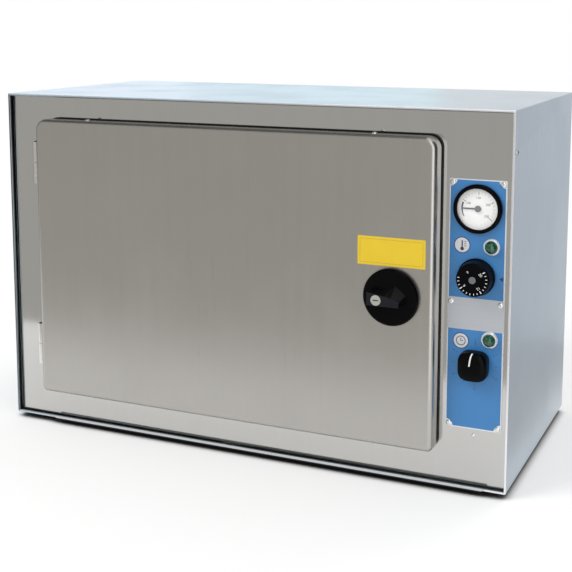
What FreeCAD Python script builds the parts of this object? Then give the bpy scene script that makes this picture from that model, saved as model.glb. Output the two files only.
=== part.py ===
import FreeCAD, Part
import Sketcher
import os
import re

# Hot air sterilizer for the bench: a stainless steel casing round an insulated chamber,
# with a side-hinged door and a control compartment on the right.
# Millimetres. The front faces -Y, +Z is up, and the origin is the middle of the floor
# under the whole apparatus.

V = FreeCAD.Vector

SIZES = {
    # Casing
    "case_width": 620.0,
    "case_height": 400.0,
    "case_depth": 300.0,
    "case_sheet": 1.2,
    "case_bend": 2.0,
    "hem_sheet": 2.4,
    "hem_length": 5.0,
    "rear_return": 14.0,
    # Base tray and feet
    "tray_sheet": 2.0,
    "tray_lip_sheet": 1.6,
    "tray_lip_height": 7.0,
    "tray_lip_round": 1.3,
    "tray_left_inset": 56.0,
    "tray_right_inset": 23.0,
    "tray_rear_inset": 12.0,
    "tray_slant": 5.0,
    "foot_height": 4.0,
    "foot_diameter": 25.0,
    "foot_waist": 22.0,
    "foot_inset_x": 85.0,
    "foot_inset_y": 40.0,
    "foot_recess": 7.6,
    "foot_screw_tip": 3.0,
    # Front panel
    "panel_recess": 6.0,
    "panel_sheet": 1.2,
    "panel_flange": 14.0,
    "panel_bend": 2.5,
    "panel_corner": 4.0,
    "seat_gap": 0.3,
    # Back panel
    "back_sheet": 1.2,
    "back_margin": 6.0,
    "vent_width": 46.0,
    "vent_height": 3.0,
    "vent_pitch": 9.0,
    "vent_rows": 6.0,
    "vent_margin": 34.0,
    # Door
    "door_margin_left": 49.0,
    "door_margin_right": 76.0,
    "door_rise": 38.0,
    "door_drop": 28.5,
    "door_thickness": 18.0,
    "door_gap": 4.0,
    "door_corner": 13.0,
    "door_corner_low": 6.5,
    "door_edge": 3.5,
    "door_sheet": 1.2,
    "door_screw_inset": 70.0,
    "liner_sheet": 1.0,
    "liner_flange": 9.0,
    "liner_rise": 2.5,
    "liner_inset": 12.0,
    "liner_taper": 20.0,
    "pad_inset": 6.0,
    "gasket_width": 8.0,
    "gasket_margin": 3.0,
    # Chamber
    "mouth_margin": 21.0,
    "mouth_rise": 41.75,
    "latch_margin": 74.0,
    "chamber_depth": 200.0,
    "chamber_sheet": 1.0,
    "chamber_corner": 12.0,
    "chamber_bend": 8.0,
    "mouth_flange": 9.0,
    "air_jacket": 9.0,
    "wool_setback": 20.0,
    # Shelves and their racks
    "rack_sheet": 1.0,
    "rack_start": 8.0,
    "rack_end": 28.0,
    "rack_margin": 12.0,
    "ledge_width": 9.0,
    "ledge_sheet": 1.0,
    "channel_height": 11.0,
    "level_count": 4.0,
    "level_pitch": 54.0,
    "first_level": 24.0,
    "shelf_sheet": 1.0,
    "shelf_rim": 8.0,
    "shelf_play": 1.0,
    "shelf_start": 8.0,
    "shelf_slot_margin": 13.0,
    "shelf_slot_width": 7.0,
    "shelf_slot_gap": 15.0,
    "shelf_slot_rows": 9.0,
    "shelf_slot_columns": 5.0,
    # Heaters
    "heater_diameter": 6.5,
    "heater_first_leg": 32.0,
    "heater_last_leg": 36.0,
    "heater_end_margin": 26.0,
    "heater_tail": 12.0,
    "heater_gap": 0.3,
    "clip_width": 12.0,
    "clip_sheet": 1.0,
    "clip_inset": 60.0,
    # Control compartment
    "divider_margin": 77.0,
    "divider_sheet": 1.0,
    "divider_flange": 12.0,
    "conduit_outer": 18.0,
    "conduit_inner": 16.0,
    "conduit_inset": 16.0,
    "conduit_proud": 2.0,
    "capillary_diameter": 1.6,
    "capillary_bend": 12.0,
    "bulb_diameter": 6.5,
    "bulb_length": 82.0,
    "bulb_spacing": 7.6,
    "bulb_reach": 14.0,
    # Control plate
    "plate_width": 59.5,
    "plate_height": 264.0,
    "plate_sheet": 1.0,
    "plate_margin_right": 8.0,
    "plate_drop": 72.0,
    "control_setback": 29.2,
    "screw_inset": 3.7,
    "band_screw_rise": 135.3,
    "lamp_setback": 14.0,
    "lamp_rise_high": 195.5,
    "lamp_rise_low": 98.0,
    "gauge_rise": 234.0,
    "thermostat_rise": 163.0,
    "timer_rise": 70.0,
    # Thermometer
    "bezel_diameter": 50.8,
    "bezel_height": 6.0,
    "bezel_lip": 1.2,
    "bezel_chamfer": 2.0,
    "window_diameter": 41.0,
    "gauge_bore": 44.0,
    "gauge_wall": 1.0,
    "gauge_depth": 22.0,
    "dial_sheet": 0.8,
    "dial_depth": 1.2,
    "glass_sheet": 1.2,
    "disc_clearance": 0.3,
    "needle_length": 16.0,
    "needle_tail": 3.0,
    "needle_width": 1.2,
    "needle_sheet": 0.5,
    "needle_rise": 0.7,
    "needle_hub": 6.4,
    "needle_pin": 1.6,
    # Knobs and what turns with them
    "shaft_diameter": 6.0,
    "shaft_clearance": 0.1,
    "bush_diameter": 10.0,
    "bush_proud": 0.5,
    "shaft_tail": 10.0,
    "knob_gap": 1.0,
    "knob_skirt": 39.4,
    "knob_skirt_height": 3.0,
    "knob_top": 35.0,
    "knob_height": 17.0,
    "knob_bevel": 1.2,
    "knob_flare": 1.0,
    "knob_skirt_bevel": 0.6,
    "knob_hub": 7.4,
    "knob_hub_height": 1.2,
    "knob_socket": 11.0,
    "timer_knob_width": 31.0,
    "timer_knob_height": 15.0,
    "timer_knob_corner": 10.5,
    "timer_knob_bevel": 4.0,
    "thermostat_width": 42.0,
    "thermostat_height": 34.0,
    "thermostat_depth": 32.0,
    "timer_diameter": 50.0,
    "timer_depth": 34.0,
    # Pilot lamps
    "lamp_bezel": 17.5,
    "lamp_bezel_height": 4.0,
    "lamp_bezel_bevel": 1.5,
    "lamp_lens": 13.0,
    "lamp_dome": 6.0,
    "lamp_body": 11.0,
    "lamp_body_length": 30.0,
    # Handle, lock and latch
    "handle_margin": 46.0,
    "handle_rise": 164.0,
    "rosette_diameter": 61.0,
    "rosette_thickness": 5.0,
    "rosette_chamfer": 1.5,
    "boss_diameter": 20.0,
    "boss_nut": 27.0,
    "boss_nut_height": 3.0,
    "spindle_diameter": 10.0,
    "spindle_neck": 8.0,
    "spindle_thread": 5.8,
    "lever_gap": 0.4,
    "lever_reach": 12.0,
    "lever_left": 21.8,
    "lever_right": 13.3,
    "lever_width": 14.0,
    "lever_nose": 6.0,
    "lever_bend": 5.0,
    "lever_bend_rise": 4.5,
    "lever_heel": 18.0,
    "lever_heel_rise": 4.0,
    "lever_crest": 13.0,
    "lever_crest_setback": 6.0,
    "lever_step": 8.0,
    "lever_socket": 7.0,
    "lock_diameter": 11.0,
    "lock_offset": 11.4,
    "lock_drop": 1.0,
    "lock_depth": 9.0,
    "lock_proud": 0.4,
    "key_slit": 6.4,
    "key_slit_width": 1.2,
    "cam_length": 24.0,
    "cam_width": 8.0,
    "cam_thickness": 3.0,
    "cam_clearance": 0.5,
    "cam_nut": 10.0,
    "cam_nut_height": 4.0,
    "slot_clearance": 2.5,
    "keeper_sheet": 2.0,
    "keeper_margin": 6.0,
    # Hinges
    "hinge_height": 50.0,
    "hinge_high": 318.7,
    "hinge_low": 95.8,
    "knuckle_diameter": 8.0,
    "knuckle_offset": 4.5,
    "knuckle_gap": 0.4,
    "pin_diameter": 5.0,
    "pin_clearance": 0.1,
    "pin_head": 3.0,
    "leaf_sheet": 1.2,
    "leaf_flange": 13.0,
    "leaf_wing": 8.0,
    # Fasteners
    "screw_head": 5.6,
    "screw_head_height": 1.8,
    "screw_crown": 0.62,
    "screw_shank": 2.9,
    "hole_clearance": 0.2,
    "screw_length": 7.0,
    "side_screw_setback": 10.0,
    "side_screw_drop": 43.0,
    "rivet_head": 3.6,
    "rivet_drop": 7.0,
    # Behind
    "gland_inset": 38.0,
    "gland_rise": 46.0,
    "gland_flange": 24.0,
    "gland_flange_height": 7.7,
    "gland_dome_low": 22.5,
    "gland_dome_high": 16.0,
    "gland_thread": 16.0,
    "gland_bore": 9.0,
    "gland_reach": 22.0,
    "gland_nut_height": 5.0,
    "gland_tail": 10.0,
    "vent_tube_outer": 14.0,
    "vent_tube_inner": 11.0,
    "vent_tube_reach": 8.0,
    "vent_tube_drop": 30.0,
    "block_length": 64.0,
    "block_width": 22.0,
    "block_height": 18.0,
    "block_groove": 4.0,
    "block_setback": 30.0,
    "cutout_diameter": 16.0,
    "cutout_height": 8.0,
}

# Places and sizes that follow from the ones above, in words of their names
PLACES = {
    "door_proud": "door_gap + door_thickness - panel_recess",
    "front_reach": "door_proud + rosette_thickness + lever_gap + lever_reach + lock_proud",
    "back_reach": "back_sheet + gland_reach",
    "case_front": "(front_reach - case_depth - back_reach) / 2",
    "case_back": "case_front + case_depth",
    "case_left": "-case_width / 2",
    "case_right": "case_width / 2",
    "case_floor": "foot_height + tray_sheet",
    "case_top": "case_floor + case_height",
    "tray_left": "case_left + tray_left_inset",
    "tray_right": "case_right - tray_right_inset",
    "wall_left": "case_left + case_sheet",
    "wall_right": "case_right - case_sheet",
    "wall_low": "case_floor + case_sheet",
    "wall_high": "case_top - case_sheet",
    "wall_back": "case_back - case_sheet",
    "panel_front": "case_front + panel_recess",
    "panel_back": "panel_front + panel_sheet",
    "door_back": "panel_front - door_gap",
    "door_front": "door_back - door_thickness",
    "door_left": "case_left + door_margin_left",
    "door_right": "case_right - door_margin_right",
    "door_low": "case_floor + door_rise",
    "door_high": "case_top - door_drop",
    "liner_left": "door_left + door_sheet",
    "liner_right": "door_right - door_sheet",
    "liner_low": "door_low + door_sheet",
    "liner_high": "door_high - door_sheet",
    "chamber_left": "door_left + mouth_margin",
    "chamber_right": "door_right - latch_margin",
    "chamber_middle": "(chamber_left + chamber_right) / 2",
    "chamber_low": "door_low + mouth_rise",
    "chamber_high": "door_high - mouth_rise",
    "chamber_front": "panel_back",
    "chamber_back": "chamber_front + chamber_depth",
    "shell_left": "chamber_left - chamber_sheet",
    "shell_right": "chamber_right + chamber_sheet",
    "shell_low": "chamber_low - chamber_sheet",
    "shell_high": "chamber_high + chamber_sheet",
    "shell_back": "chamber_back + chamber_sheet",
    "wool_front": "panel_front + wool_setback",
    "divider_left": "case_right - divider_margin",
    "divider_right": "divider_left + divider_sheet",
    "control_x": "case_right - plate_margin_right - control_setback",
    "plate_right": "case_right - plate_margin_right",
    "plate_left": "plate_right - plate_width",
    "plate_high": "case_top - plate_drop",
    "plate_low": "plate_high - plate_height",
    "plate_front": "panel_front - plate_sheet",
    "lamp_x": "plate_right - lamp_setback",
    "gauge_z": "plate_low + gauge_rise",
    "gauge_outer": "gauge_bore + 2 * gauge_wall",
    "gauge_back": "plate_front + gauge_depth",
    "thermostat_z": "plate_low + thermostat_rise",
    "timer_z": "plate_low + timer_rise",
    "knob_back": "plate_front - knob_gap",
    "thermostat_back": "panel_back + thermostat_depth",
    "handle_x": "door_right - handle_margin",
    "handle_z": "door_low + handle_rise",
    "rosette_front": "door_front - rosette_thickness",
    "lever_back": "rosette_front - lever_gap",
    "lever_front": "lever_back - lever_reach",
    "keeper_back": "panel_back + keeper_sheet",
    "cam_front": "keeper_back + cam_clearance",
    "cam_back": "cam_front + cam_thickness",
    "slot_width": "cam_length + 2 * slot_clearance",
    "slot_height": "cam_width + 2 * slot_clearance",
    "hinge_x": "door_left - knuckle_offset",
    "hinge_y": "door_back - door_thickness / 2",
    "conduit_y": "chamber_back - conduit_inset",
    "conduit_z": "gauge_z - bulb_spacing / 2",
    "shelf_left": "chamber_left + rack_sheet + shelf_play",
    "shelf_right": "chamber_right - rack_sheet - shelf_play",
    "rack_depth": "chamber_depth - rack_start - rack_end",
    "slots_width": "shelf_right - shelf_left - 2 * shelf_slot_margin",
    "shelf_slot_length": "(slots_width + shelf_slot_gap) / shelf_slot_columns - shelf_slot_gap",
    "heater_leg_pitch": "(chamber_depth - heater_first_leg - heater_last_leg) / 3",
    "gland_x": "case_right - gland_inset",
    "gland_z": "case_floor + gland_rise",
    "back_face": "case_back + back_sheet",
    "vent_tube_z": "chamber_high - vent_tube_drop",
    "rivet_z": "plate_low - rivet_drop",
}

doc = FreeCAD.newDocument("HotAirSterilizer")
sheet = doc.addObject("Spreadsheet::Sheet", "Sizes")
for row, (word, number) in enumerate(SIZES.items(), start=1):
    sheet.set(f"A{row}", word)
    sheet.set(f"B{row}", str(number))
    sheet.setAlias(f"B{row}", word)
doc.recompute()

NODES = []


# Sizes and bindings

def spell(text):
    """Writes an expression in terms of the sheet's cells."""
    def swap(match):
        word = match.group(0)
        if word in SIZES:
            return "Sizes." + word
        if word in PLACES:
            return "(" + spell(PLACES[word]) + ")"
        return word
    return re.sub(r"[a-z_][a-z_0-9]*", swap, str(text))


def value(text):
    """The number that an expression gives now."""
    return float(sheet.evalExpression(spell(text)))


def bind(item, prop, text):
    item.setExpression(prop, spell(text))


def place(item, x="0", y="0", z="0"):
    for axis, text in zip("xyz", (x, y, z)):
        bind(item, "Placement.Base." + axis, text)


def node(name, item):
    """Names a finished sub-part and lists it for export."""
    item.Label = name
    NODES.append((name, item))
    return item


# Solids from primitives, each axis as a pair of places

TURN_TO = {
    "x": FreeCAD.Rotation(V(0, 1, 0), 90),
    "y": FreeCAD.Rotation(V(1, 0, 0), -90),
    "z": FreeCAD.Rotation(),
}


def box(name, x, y, z):
    block = doc.addObject("Part::Box", name)
    for side, axis, span in zip(("Length", "Width", "Height"), "xyz", (x, y, z)):
        bind(block, side, f"({span[1]}) - ({span[0]})")
        bind(block, "Placement.Base." + axis, span[0])
    return block


def stand(item, axis, start, at):
    """Stands a round solid along one axis; at is its centre on the other two."""
    item.Placement = FreeCAD.Placement(V(), TURN_TO[axis])
    others = [other for other in "xyz" if other != axis]
    for other, text in zip([axis] + others, [start] + list(at)):
        bind(item, "Placement.Base." + other, text)
    return item


def rod(name, diameter, axis, span, at):
    bar = doc.addObject("Part::Cylinder", name)
    bind(bar, "Radius", f"({diameter}) / 2")
    bind(bar, "Height", f"({span[1]}) - ({span[0]})")
    return stand(bar, axis, span[0], at)


def cone(name, first, last, axis, span, at):
    """A frustum that goes from one diameter to another."""
    taper = doc.addObject("Part::Cone", name)
    bind(taper, "Radius1", f"({first}) / 2")
    bind(taper, "Radius2", f"({last}) / 2")
    bind(taper, "Height", f"({span[1]}) - ({span[0]})")
    return stand(taper, axis, span[0], at)


def hexagon(name, flats, axis, span, at):
    """A six-sided bar, measured across its flats."""
    prism = doc.addObject("Part::Prism", name)
    prism.Polygon = 6
    bind(prism, "Circumradius", f"({flats}) / 2 / cos(30)")
    bind(prism, "Height", f"({span[1]}) - ({span[0]})")
    return stand(prism, axis, span[0], at)


def fuse(name, *pieces):
    result = doc.addObject("Part::MultiFuse", name)
    result.Shapes = list(pieces)
    result.Refine = True
    return result


def cut(name, base, *tools):
    result = doc.addObject("Part::Cut", name)
    result.Base = base
    result.Tool = tools[0] if len(tools) == 1 else fuse(name + "_tools", *tools)
    return result


def group(name, pieces):
    """Separate solids that share one sub-part."""
    result = doc.addObject("Part::Compound", name)
    result.Links = list(pieces)
    return result


# Solids from sketches

def new_body(name, x="0", y="0", z="0"):
    body = doc.addObject("PartDesign::Body", name)
    place(body, x, y, z)
    return body


def sketch_on(body, plane, name, offset=None):
    """A sketch on one of the body's own planes, or a stated way off it."""
    sketch = body.newObject("Sketcher::SketchObject", name)
    support = next(item for item in body.Origin.OriginFeatures if item.Role == plane)
    sketch.AttachmentSupport = (support, [""])
    sketch.MapMode = "FlatFace"
    if offset:
        bind(sketch, "AttachmentOffset.Base.z", offset)
    return sketch


def pin_point(sketch, line, end, x, y):
    """Holds a point of the sketch at bound distances from its origin."""
    for kind, axis, text in (("DistanceX", -2, x), ("DistanceY", -1, y)):
        if text == "0":
            sketch.addConstraint(Sketcher.Constraint("PointOnObject", line, end, axis))
        else:
            held = Sketcher.Constraint(kind, -1, 1, line, end, value(text))
            index = sketch.addConstraint(held)
            bind(sketch, f"Constraints[{index}]", text)


def outline(sketch, points):
    """A closed outline of straight lines through bound points."""
    first = sketch.GeometryCount
    count = len(points)
    spots = [V(value(x), value(y), 0) for x, y in points]
    for index in range(count):
        line = Part.LineSegment(spots[index], spots[(index + 1) % count])
        sketch.addGeometry(line, False)
    for index in range(count):
        after = first + (index + 1) % count
        sketch.addConstraint(Sketcher.Constraint("Coincident", first + index, 2, after, 1))
    for index, (x, y) in enumerate(points):
        pin_point(sketch, first + index, 1, x, y)


def rectangle(sketch, x, y):
    outline(sketch, [(x[0], y[0]), (x[1], y[0]), (x[1], y[1]), (x[0], y[1])])


def settle(feature):
    """Works out a new feature and stops at one that failed."""
    doc.recompute()
    if {"Invalid", "Error"} & set(feature.State) or feature.Shape.isNull():
        raise RuntimeError(f"{feature.Name} came out wrong")
    return feature


def pad(body, sketch, length, reverse=False):
    feature = body.newObject("PartDesign::Pad", sketch.Name + "_pad")
    feature.Profile = sketch
    feature.Reversed = reverse
    bind(feature, "Length", length)
    return settle(feature)


def pocket(body, sketch, length, reverse=False):
    before = body.Tip.Shape.Volume
    feature = body.newObject("PartDesign::Pocket", sketch.Name + "_pocket")
    feature.Profile = sketch
    feature.Reversed = reverse
    bind(feature, "Length", length)
    if settle(feature).Shape.Volume >= before:
        raise RuntimeError(f"{feature.Name} cuts nothing")
    return feature


def revolve(body, sketch):
    """Turns a profile right round the sketch's upright axis."""
    feature = body.newObject("PartDesign::Revolution", sketch.Name + "_turn")
    feature.Profile = sketch
    feature.ReferenceAxis = (sketch, ["V_Axis"])
    feature.Angle = 360
    return settle(feature)


def edges_of(shape, test):
    return [f"Edge{index}" for index, edge in enumerate(shape.Edges, start=1) if test(edge)]


def faces_of(shape, test):
    return [f"Face{index}" for index, face in enumerate(shape.Faces, start=1) if test(face)]


def runs_along(edge, axis):
    """True for a straight edge parallel to one axis."""
    size = edge.BoundBox
    spans = {"x": size.XLength, "y": size.YLength, "z": size.ZLength}
    return all((span > 0.01) == (other == axis) for other, span in spans.items())


def faces_at(shape, axis, spot):
    """The flat faces that lie across one axis at a place."""
    def lies_there(face):
        low = getattr(face.BoundBox, axis.upper() + "Min")
        high = getattr(face.BoundBox, axis.upper() + "Max")
        return abs(low - spot) < 0.001 and abs(high - spot) < 0.001
    return faces_of(shape, lies_there)


def round_edges(body, radius, test):
    tip = body.Tip
    feature = body.newObject("PartDesign::Fillet", f"{body.Name}_round{len(body.Group)}")
    feature.Base = (tip, edges_of(tip.Shape, test))
    bind(feature, "Radius", radius)
    return settle(feature)


def round_face(body, radius, axis, spot):
    """Rounds the edges of the flat faces at a place."""
    tip = body.Tip
    feature = body.newObject("PartDesign::Fillet", f"{body.Name}_round{len(body.Group)}")
    feature.Base = (tip, faces_at(tip.Shape, axis, spot))
    bind(feature, "Radius", radius)
    return settle(feature)


def hollow(body, wall, axis, spot):
    """Leaves an even wall, open at the flat face at a place."""
    tip = body.Tip
    feature = body.newObject("PartDesign::Thickness", body.Name + "_shell")
    feature.Base = (tip, faces_at(tip.Shape, axis, spot))
    feature.Join = 1
    feature.Reversed = True
    bind(feature, "Value", wall)
    return settle(feature)


# Fasteners

WAYS = {
    "-x": ("x", -1), "+x": ("x", 1),
    "-y": ("y", -1), "+y": ("y", 1),
    "-z": ("z", -1), "+z": ("z", 1),
}


def screw(name, way, seat, at, head="screw_head", height="screw_head_height",
          shank="screw_shank", length="screw_length"):
    """A pan head screw whose head stands on a seat and faces one way."""
    axis, sign = WAYS[way]
    rim = f"({seat}) + {sign} * 0.5 * ({height})"
    top = f"({seat}) + {sign} * ({height})"
    end = f"({seat}) - {sign} * ({length})"
    crown = f"screw_crown * ({head})"
    if sign > 0:
        parts = [
            rod(name + "_shank", shank, axis, (end, seat), at),
            rod(name + "_rim", head, axis, (seat, rim), at),
            cone(name + "_crown", head, crown, axis, (rim, top), at),
        ]
    else:
        parts = [
            rod(name + "_shank", shank, axis, (seat, end), at),
            rod(name + "_rim", head, axis, (rim, seat), at),
            cone(name + "_crown", crown, head, axis, (top, rim), at),
        ]
    return fuse(name, *parts)


def hole(name, axis, span, at, shank="screw_shank"):
    return rod(name, f"({shank}) + hole_clearance", axis, span, at)


# Where the fasteners go

FOOT_SPOTS = [
    (x, y)
    for x in ("case_left + foot_inset_x", "case_right - foot_inset_x")
    for y in ("case_front + foot_inset_y", "case_back - foot_inset_y")
]
BACK_EDGE = "(back_margin + case_sheet + rear_return / 4)"
BACK_SPOTS = [
    (x, z)
    for x in (f"case_left + {BACK_EDGE}", "0", f"case_right - {BACK_EDGE}")
    for z in (f"case_floor + {BACK_EDGE}", f"case_top - {BACK_EDGE}")
]
SIDE_SPOT = ("case_front + side_screw_setback", "case_top - side_screw_drop")
PLATE_SPOTS = [
    (x, z)
    for x in ("plate_left + screw_inset", "plate_right - screw_inset")
    for z in ("plate_low + screw_inset", "plate_low + band_screw_rise", "plate_high - screw_inset")
]
DOOR_SPOTS = ["door_left + door_screw_inset", "door_right - door_screw_inset"]
LAMP_SPOTS = [("lamp_x", "plate_low + lamp_rise_high"), ("lamp_x", "plate_low + lamp_rise_low")]
HEATER_LEGS = [f"chamber_front + heater_first_leg + {leg} * heater_leg_pitch" for leg in range(4)]
LOWER_HEATER_Z = "shell_low - heater_gap - heater_diameter / 2"
UPPER_HEATER_Z = "shell_high + heater_gap + heater_diameter / 2"
HEATER_ENDS = [
    (y, z) for y in (HEATER_LEGS[0], HEATER_LEGS[3]) for z in (LOWER_HEATER_Z, UPPER_HEATER_Z)
]


# Casing, base and feet

def make_casing():
    """One sheet folded round four sides, hemmed in front and turned in behind."""
    body = new_body("casing_body", y="case_front")
    block = sketch_on(body, "XZ_Plane", "casing_block")
    rectangle(block, ("case_left", "case_right"), ("case_floor", "case_top"))
    pad(body, block, "case_depth", reverse=True)
    round_edges(body, "case_bend", lambda edge: runs_along(edge, "y"))
    steps = [
        ("casing_mouth", "hem_sheet", None, "hem_length"),
        ("casing_inside", "case_sheet", "-hem_length", "case_depth - hem_length - case_sheet"),
        ("casing_rear", "case_sheet + rear_return", "case_sheet - case_depth", "case_sheet"),
    ]
    for name, wall, offset, depth in steps:
        room = sketch_on(body, "XZ_Plane", name, offset)
        rectangle(room, (f"case_left + {wall}", f"case_right - ({wall})"),
                  (f"case_floor + {wall}", f"case_top - ({wall})"))
        pocket(body, room, depth)
    holes = [hole("casing_side_hole", "x", ("case_left - 1", "case_right + 1"), SIDE_SPOT)]
    for index, spot in enumerate(BACK_SPOTS):
        holes.append(hole(f"casing_back_hole{index}", "y", ("wall_back - 1", "case_back + 1"), spot))
    for index, spot in enumerate(FOOT_SPOTS):
        holes.append(hole(f"casing_foot_hole{index}", "z", ("case_floor - 1", "wall_low + 1"), spot))
    node("casing_wrap", cut("casing_wrap", body, *holes))


def make_base_tray():
    """A tray under the casing, with a lip turned up in front of the casing's own edge."""
    floor = box("tray_floor", ("tray_left + tray_slant", "tray_right - tray_slant"),
                ("case_front", "case_back - tray_rear_inset"), ("foot_height", "case_floor"))
    body = new_body("tray_lip_body", y="case_front")
    lip = sketch_on(body, "XZ_Plane", "tray_lip")
    outline(lip, [
        ("tray_left + tray_slant", "foot_height"),
        ("tray_right - tray_slant", "foot_height"),
        ("tray_right", "foot_height + tray_sheet + tray_lip_sheet"),
        ("tray_right", "foot_height + tray_lip_height"),
        ("tray_left", "foot_height + tray_lip_height"),
        ("tray_left", "foot_height + tray_sheet + tray_lip_sheet"),
    ])
    pad(body, lip, "tray_lip_sheet")
    round_edges(body, "tray_lip_round", lambda edge: (
        edge.BoundBox.YMax < 0.001 - value("tray_lip_sheet")
        and edge.BoundBox.ZMax < value("foot_height") + 0.001
    ))
    holes = [
        hole(f"tray_hole{index}", "z", ("foot_height - 1", "case_floor + 1"), spot)
        for index, spot in enumerate(FOOT_SPOTS)
    ]
    node("base_tray", cut("base_tray", fuse("tray_whole", floor, body), *holes))


def make_feet():
    """Low rubber feet, each with a recess for its screw's head."""
    feet = []
    screws = []
    for index, spot in enumerate(FOOT_SPOTS):
        foot = cone(f"foot{index}_pad", "foot_waist", "foot_diameter", "z", ("0", "foot_height"), spot)
        recess = rod(f"foot{index}_recess", "foot_recess", "z", ("-1", "foot_height / 2"), spot)
        through = hole(f"foot{index}_hole", "z", ("0", "foot_height + 1"), spot)
        feet.append(cut(f"foot{index}", foot, recess, through))
        screws.append(screw(f"foot_screw{index}", "-z", "foot_height / 2", spot,
                            length="foot_height / 2 + tray_sheet + case_sheet + foot_screw_tip"))
    node("feet", group("feet", feet))
    node("foot_screws", group("foot_screws", screws))


def at_mouth(edge):
    """True for the short edges at the corners of the chamber's mouth."""
    size = edge.BoundBox
    across = min(abs(size.XMin - value(side)) for side in ("chamber_left", "chamber_right"))
    up = min(abs(size.ZMin - value(side)) for side in ("chamber_low", "chamber_high"))
    return runs_along(edge, "y") and across < 0.01 and up < 0.01


def make_front_panel():
    """A folded panel set back in the casing, with the chamber's mouth and the control holes."""
    left, right = "wall_left + seat_gap", "wall_right - seat_gap"
    low, high = "wall_low + seat_gap", "wall_high - seat_gap"
    body = new_body("panel_body", y="panel_front")
    face = sketch_on(body, "XZ_Plane", "panel_face")
    rectangle(face, (left, right), (low, high))
    pad(body, face, "panel_flange", reverse=True)
    round_edges(body, "panel_corner", lambda edge: runs_along(edge, "y"))
    round_face(body, "panel_bend", "y", 0.0)
    hollow(body, "panel_sheet", "y", value("panel_flange"))
    mouth = sketch_on(body, "XZ_Plane", "panel_mouth")
    rectangle(mouth, ("chamber_left", "chamber_right"), ("chamber_low", "chamber_high"))
    pocket(body, mouth, "panel_sheet")
    round_edges(body, "chamber_corner - chamber_sheet", at_mouth)
    span = ("panel_front - 1", "panel_back + 1")
    holes = [
        box("panel_slot", ("handle_x - slot_width / 2", "handle_x + slot_width / 2"), span,
            ("handle_z - slot_height / 2", "handle_z + slot_height / 2")),
        rod("panel_gauge_hole", "gauge_outer + hole_clearance", "y", span, ("control_x", "gauge_z")),
        rod("panel_thermostat_hole", "bush_diameter + hole_clearance", "y", span,
            ("control_x", "thermostat_z")),
        rod("panel_timer_hole", "bush_diameter + hole_clearance", "y", span, ("control_x", "timer_z")),
        hole("panel_rivet_hole", "y", span, ("control_x", "rivet_z"), shank="rivet_head / 2"),
    ]
    for index, spot in enumerate(LAMP_SPOTS):
        holes.append(rod(f"panel_lamp_hole{index}", "lamp_body + hole_clearance", "y", span, spot))
    for index, spot in enumerate(PLATE_SPOTS):
        holes.append(hole(f"panel_screw_hole{index}", "y", span, spot))
    holes.append(hole("panel_side_hole", "x", ("case_left - 1", "case_right + 1"), SIDE_SPOT))
    node("front_panel", cut("front_panel", body, *holes))


def make_latch_keeper():
    """A thick plate behind the front panel that the latch's cam closes on."""
    plate = box("keeper_plate",
                ("handle_x - slot_width / 2 - keeper_margin / 2",
                 "handle_x + slot_width / 2 + keeper_margin"),
                ("panel_back", "keeper_back"),
                ("handle_z - slot_height / 2 - 2 * keeper_margin",
                 "handle_z + slot_height / 2 + 2 * keeper_margin"))
    slot = box("keeper_slot", ("handle_x - slot_width / 2", "handle_x + slot_width / 2"),
               ("panel_back - 1", "keeper_back + 1"),
               ("handle_z - slot_height / 2", "handle_z + slot_height / 2"))
    node("latch_keeper", cut("latch_keeper", plate, slot))


def make_back_panel():
    """A flat plate on the casing's rear edge, with cooling slots behind the controls."""
    body = new_body("back_body", y="case_back")
    face = sketch_on(body, "XZ_Plane", "back_face_sketch")
    rectangle(face, ("case_left + back_margin", "case_right - back_margin"),
              ("case_floor + back_margin", "case_top - back_margin"))
    pad(body, face, "back_sheet", reverse=True)
    round_edges(body, "2 * back_margin / 3", lambda edge: runs_along(edge, "y"))
    for name, low in (("low", "case_floor + 2 * vent_margin"),
                      ("high", "case_top - vent_margin - vent_rows * vent_pitch")):
        slot = sketch_on(body, "XZ_Plane", f"vent_{name}")
        rectangle(slot, ("control_x - vent_width / 2", "control_x + vent_width / 2"),
                  (low, f"{low} + vent_height"))
        first = pocket(body, slot, "back_sheet")
        rows = body.newObject("PartDesign::LinearPattern", f"vent_{name}_rows")
        rows.Originals = [first]
        rows.Direction = (slot, ["V_Axis"])
        bind(rows, "Length", "(vent_rows - 1) * vent_pitch")
        bind(rows, "Occurrences", "vent_rows")
        body.Tip = rows
        doc.recompute()
    span = ("case_back - 1", "back_face + 1")
    holes = [
        hole("back_gland_hole", "y", span, ("gland_x", "gland_z"), shank="gland_thread"),
        hole("back_vent_hole", "y", span, ("chamber_middle", "vent_tube_z"), shank="vent_tube_outer"),
    ]
    for index, spot in enumerate(BACK_SPOTS):
        holes.append(hole(f"back_screw_hole{index}", "y", span, spot))
    node("back_panel", cut("back_panel", body, *holes))


def make_casing_screws():
    sides = [screw("side_screw_left", "-x", "case_left", SIDE_SPOT),
             screw("side_screw_right", "+x", "case_right", SIDE_SPOT)]
    node("casing_screws", group("casing_screws", sides))
    backs = [screw(f"back_screw{index}", "+y", "back_face", spot)
             for index, spot in enumerate(BACK_SPOTS)]
    node("back_panel_screws", group("back_panel_screws", backs))


# Chamber, insulation, heaters and racks

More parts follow.
